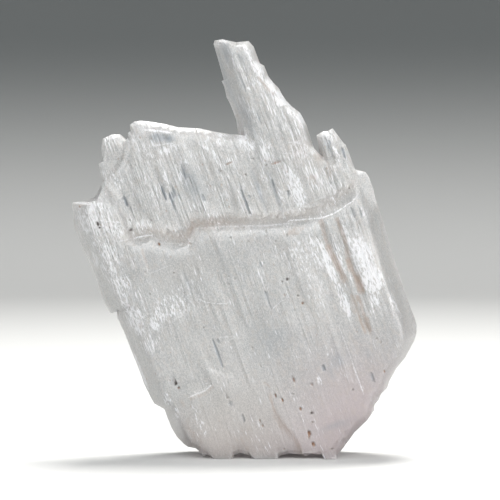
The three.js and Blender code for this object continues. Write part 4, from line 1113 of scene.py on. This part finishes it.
class KUNZITE_OT_blade(Operator):
    """Builds the crystal: cuts the striations and steps into it and gives it its stone"""

    bl_idname = "kunzite.blade"
    bl_label = "Crystal blade"

    def execute(self, context):
        settings = context.scene.kunzite_blade
        across, along, _ = blade_directions(settings.lean)
        piece = copy_solid("kunzite_blade")
        points = read_points(piece)
        u, v, _ = blade_coordinates(points, settings.lean)
        cuts_u = cut_positions(u.min() * MM, u.max() * MM, settings.striation_pitch, settings.seed)
        cuts_v = cut_positions(v.min() * MM, v.max() * MM, settings.step_pitch, settings.seed + 1)
        cuts_u = settle_cuts(cuts_u, [mark[0] for mark in DARK_PITS + RUST_PITS + SLITS])
        cut_across(piece, cuts_u, across)
        cut_across(piece, cuts_v, along)
        soften(piece, settings)
        refine_marks(piece, settings.lean)
        striate(piece, settings, cuts_u)
        make_active(piece)
        bpy.ops.object.mode_set(mode="EDIT")
        bpy.ops.mesh.select_all(action="SELECT")
        bpy.ops.mesh.quads_convert_to_tris(quad_method="BEAUTY", ngon_method="BEAUTY")
        bpy.ops.object.mode_set(mode="OBJECT")
        bpy.ops.object.shade_smooth_by_angle(angle=math.radians(14.0))
        paint_blade(piece, settings)
        piece.data.materials.clear()
        piece.data.materials.append(kunzite_material(settings))
        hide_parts(SOLID)
        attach(piece, "root")
        return {"FINISHED"}


class KUNZITE_OT_stage(Operator):
    """Builds the plain floor and backdrop, the soft lights and the camera"""

    bl_idname = "kunzite.stage"
    bl_label = "Stage"

    def execute(self, context):
        settings = context.scene.kunzite_stage
        build_bowl(settings)
        build_lights(settings)
        build_camera(settings)
        return {"FINISHED"}


def build_bowl(settings):
    """A flat floor whose far rim curves up all round into a wall."""
    deselect_all()
    flat = 0.30
    curve = 0.16
    height = 0.50
    steps = 14
    bpy.ops.mesh.primitive_circle_add(vertices=96, radius=flat, fill_type="NGON", location=(0.0, 0.0, 0.0))
    floor = bpy.context.object
    floor.name = "stage_bowl"
    bpy.ops.object.mode_set(mode="EDIT")
    bpy.ops.mesh.select_all(action="SELECT")
    bpy.ops.mesh.select_mode(type="EDGE")
    bpy.ops.mesh.region_to_loop()
    reach = flat
    for step in range(1, steps + 1):
        turn = math.radians(90.0 * step / steps)
        previous = math.radians(90.0 * (step - 1) / steps)
        grown = flat + curve * math.sin(turn)
        climb = curve * (math.cos(previous) - math.cos(turn))
        bpy.ops.mesh.extrude_edges_move(TRANSFORM_OT_translate={"value": (0.0, 0.0, climb)})
        bpy.ops.transform.resize(value=(grown / reach, grown / reach, 1.0))
        reach = grown
    bpy.ops.mesh.extrude_edges_move(TRANSFORM_OT_translate={"value": (0.0, 0.0, height)})
    bpy.ops.mesh.select_all(action="SELECT")
    bpy.ops.mesh.normals_make_consistent(inside=False)
    bpy.ops.object.mode_set(mode="OBJECT")
    bpy.ops.object.shade_smooth()
    floor.data.materials.append(paper_material(settings))


def paper_material(settings):
    """Pale paper on the floor that darkens up the wall, as painted shade."""
    paper = bpy.data.materials.new("Stage paper")
    paper.use_nodes = True
    tree = paper.node_tree
    surface = tree.nodes["Principled BSDF"]
    place = tree.nodes.new("ShaderNodeTexCoord")
    parts = tree.nodes.new("ShaderNodeSeparateXYZ")
    tree.links.new(place.outputs["Object"], parts.inputs[0])
    # Painted shade: the backdrop darkens as it climbs, in place of light falling off.
    climb = stretch_range(tree, parts.outputs["Z"], 0.002, 0.055)
    tree.nodes[-1].interpolation_type = "SMOOTHSTEP"
    tone = blend_colour(tree, climb, tuple(settings.floor_colour), tuple(settings.wall_colour))
    tree.links.new(tone, surface.inputs["Base Color"])
    surface.inputs["Roughness"].default_value = 0.8
    surface.inputs["Specular IOR Level"].default_value = 0.1
    return paper


def area_lamp(name, place, target, size, power, colour):
    """A soft square lamp that looks at a point."""
    lamp = bpy.data.lights.new(name, "AREA")
    lamp.shape = "RECTANGLE"
    lamp.size = size[0]
    lamp.size_y = size[1]
    lamp.energy = power
    lamp.color = colour
    holder = bpy.data.objects.new(name, lamp)
    bpy.context.scene.collection.objects.link(holder)
    holder.location = place
    holder.rotation_euler = (Vector(target) - Vector(place)).to_track_quat("-Z", "Y").to_euler()


def build_lights(settings):
    """A soft lamp above, a weak one at each side, one in front, and an even sky."""
    middle = (0.0, 0.0, 0.022)
    lamps = (
        ("key_above", (0.03, 0.10, 0.30), (0.12, 0.12), settings.key_strength, (1.0, 0.99, 0.97)),
        ("side_left", (-0.25, -0.14, 0.12), (0.10, 0.20), settings.side_strength, (0.97, 0.99, 1.0)),
        ("side_right", (0.26, -0.08, 0.10), (0.10, 0.20), settings.side_strength, (1.0, 0.99, 0.98)),
        ("fill_front", (0.06, -0.30, 0.16), (0.30, 0.24), settings.fill_strength, (1.0, 1.0, 1.0)),
    )
    for name, place, size, power, colour in lamps:
        area_lamp(name, place, middle, size, power, colour)
    world = bpy.data.worlds.new("Even sky")
    world.use_nodes = True
    sky = world.node_tree.nodes["Background"]
    sky.inputs["Color"].default_value = (0.86, 0.90, 0.96, 1.0)
    sky.inputs["Strength"].default_value = settings.sky_strength
    bpy.context.scene.world = world
    bpy.context.scene.view_settings.view_transform = "Standard"


def build_camera(settings):
    """A long lens almost level with the crystal."""
    width = settings.view_width
    middle = Vector((0.58 * MM, 0.0, 22.17 * MM))
    tilt = settings.camera_height
    away = Vector((0.0, -math.cos(tilt), math.sin(tilt))) * settings.camera_distance
    camera = bpy.data.cameras.new("camera")
    camera.sensor_width = 36.0
    camera.lens = 36.0 * settings.camera_distance / width
    camera.clip_start = 0.01
    holder = bpy.data.objects.new("camera", camera)
    bpy.context.scene.collection.objects.link(holder)
    holder.location = middle + away
    holder.rotation_euler = (-away).to_track_quat("-Z", "Y").to_euler()
    bpy.context.scene.camera = holder


class KUNZITE_PT_panel(Panel):
    """Lists what can be built"""

    bl_idname = "KUNZITE_PT_panel"
    bl_label = "Kunzite crystal"
    bl_space_type = "VIEW_3D"
    bl_region_type = "UI"
    bl_category = "Kunzite"

    def draw(self, context):
        layout = self.layout
        for operator in (KUNZITE_OT_blade, KUNZITE_OT_stage):
            layout.operator(operator.bl_idname)
        for group in (context.scene.kunzite_blade, context.scene.kunzite_stage):
            column = layout.column()
            for name in group.bl_rna.properties.keys():
                if name not in ("rna_type", "name"):
                    column.prop(group, name)


CLASSES = (BladeSettings, StageSettings, KUNZITE_OT_blade, KUNZITE_OT_stage, KUNZITE_PT_panel)


def register():
    """Adds the settings, the operators and the panel."""
    for each in CLASSES:
        bpy.utils.register_class(each)
    bpy.types.Scene.kunzite_blade = PointerProperty(type=BladeSettings)
    bpy.types.Scene.kunzite_stage = PointerProperty(type=StageSettings)


def unregister():
    """Takes them away again."""
    del bpy.types.Scene.kunzite_stage
    del bpy.types.Scene.kunzite_blade
    for each in reversed(CLASSES):
        bpy.utils.unregister_class(each)


def main():
    """Builds the crystal and its stage."""
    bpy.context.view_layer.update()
    register()
    bpy.ops.kunzite.blade()
    bpy.ops.kunzite.stage()


if __name__ == "__main__":
    main()
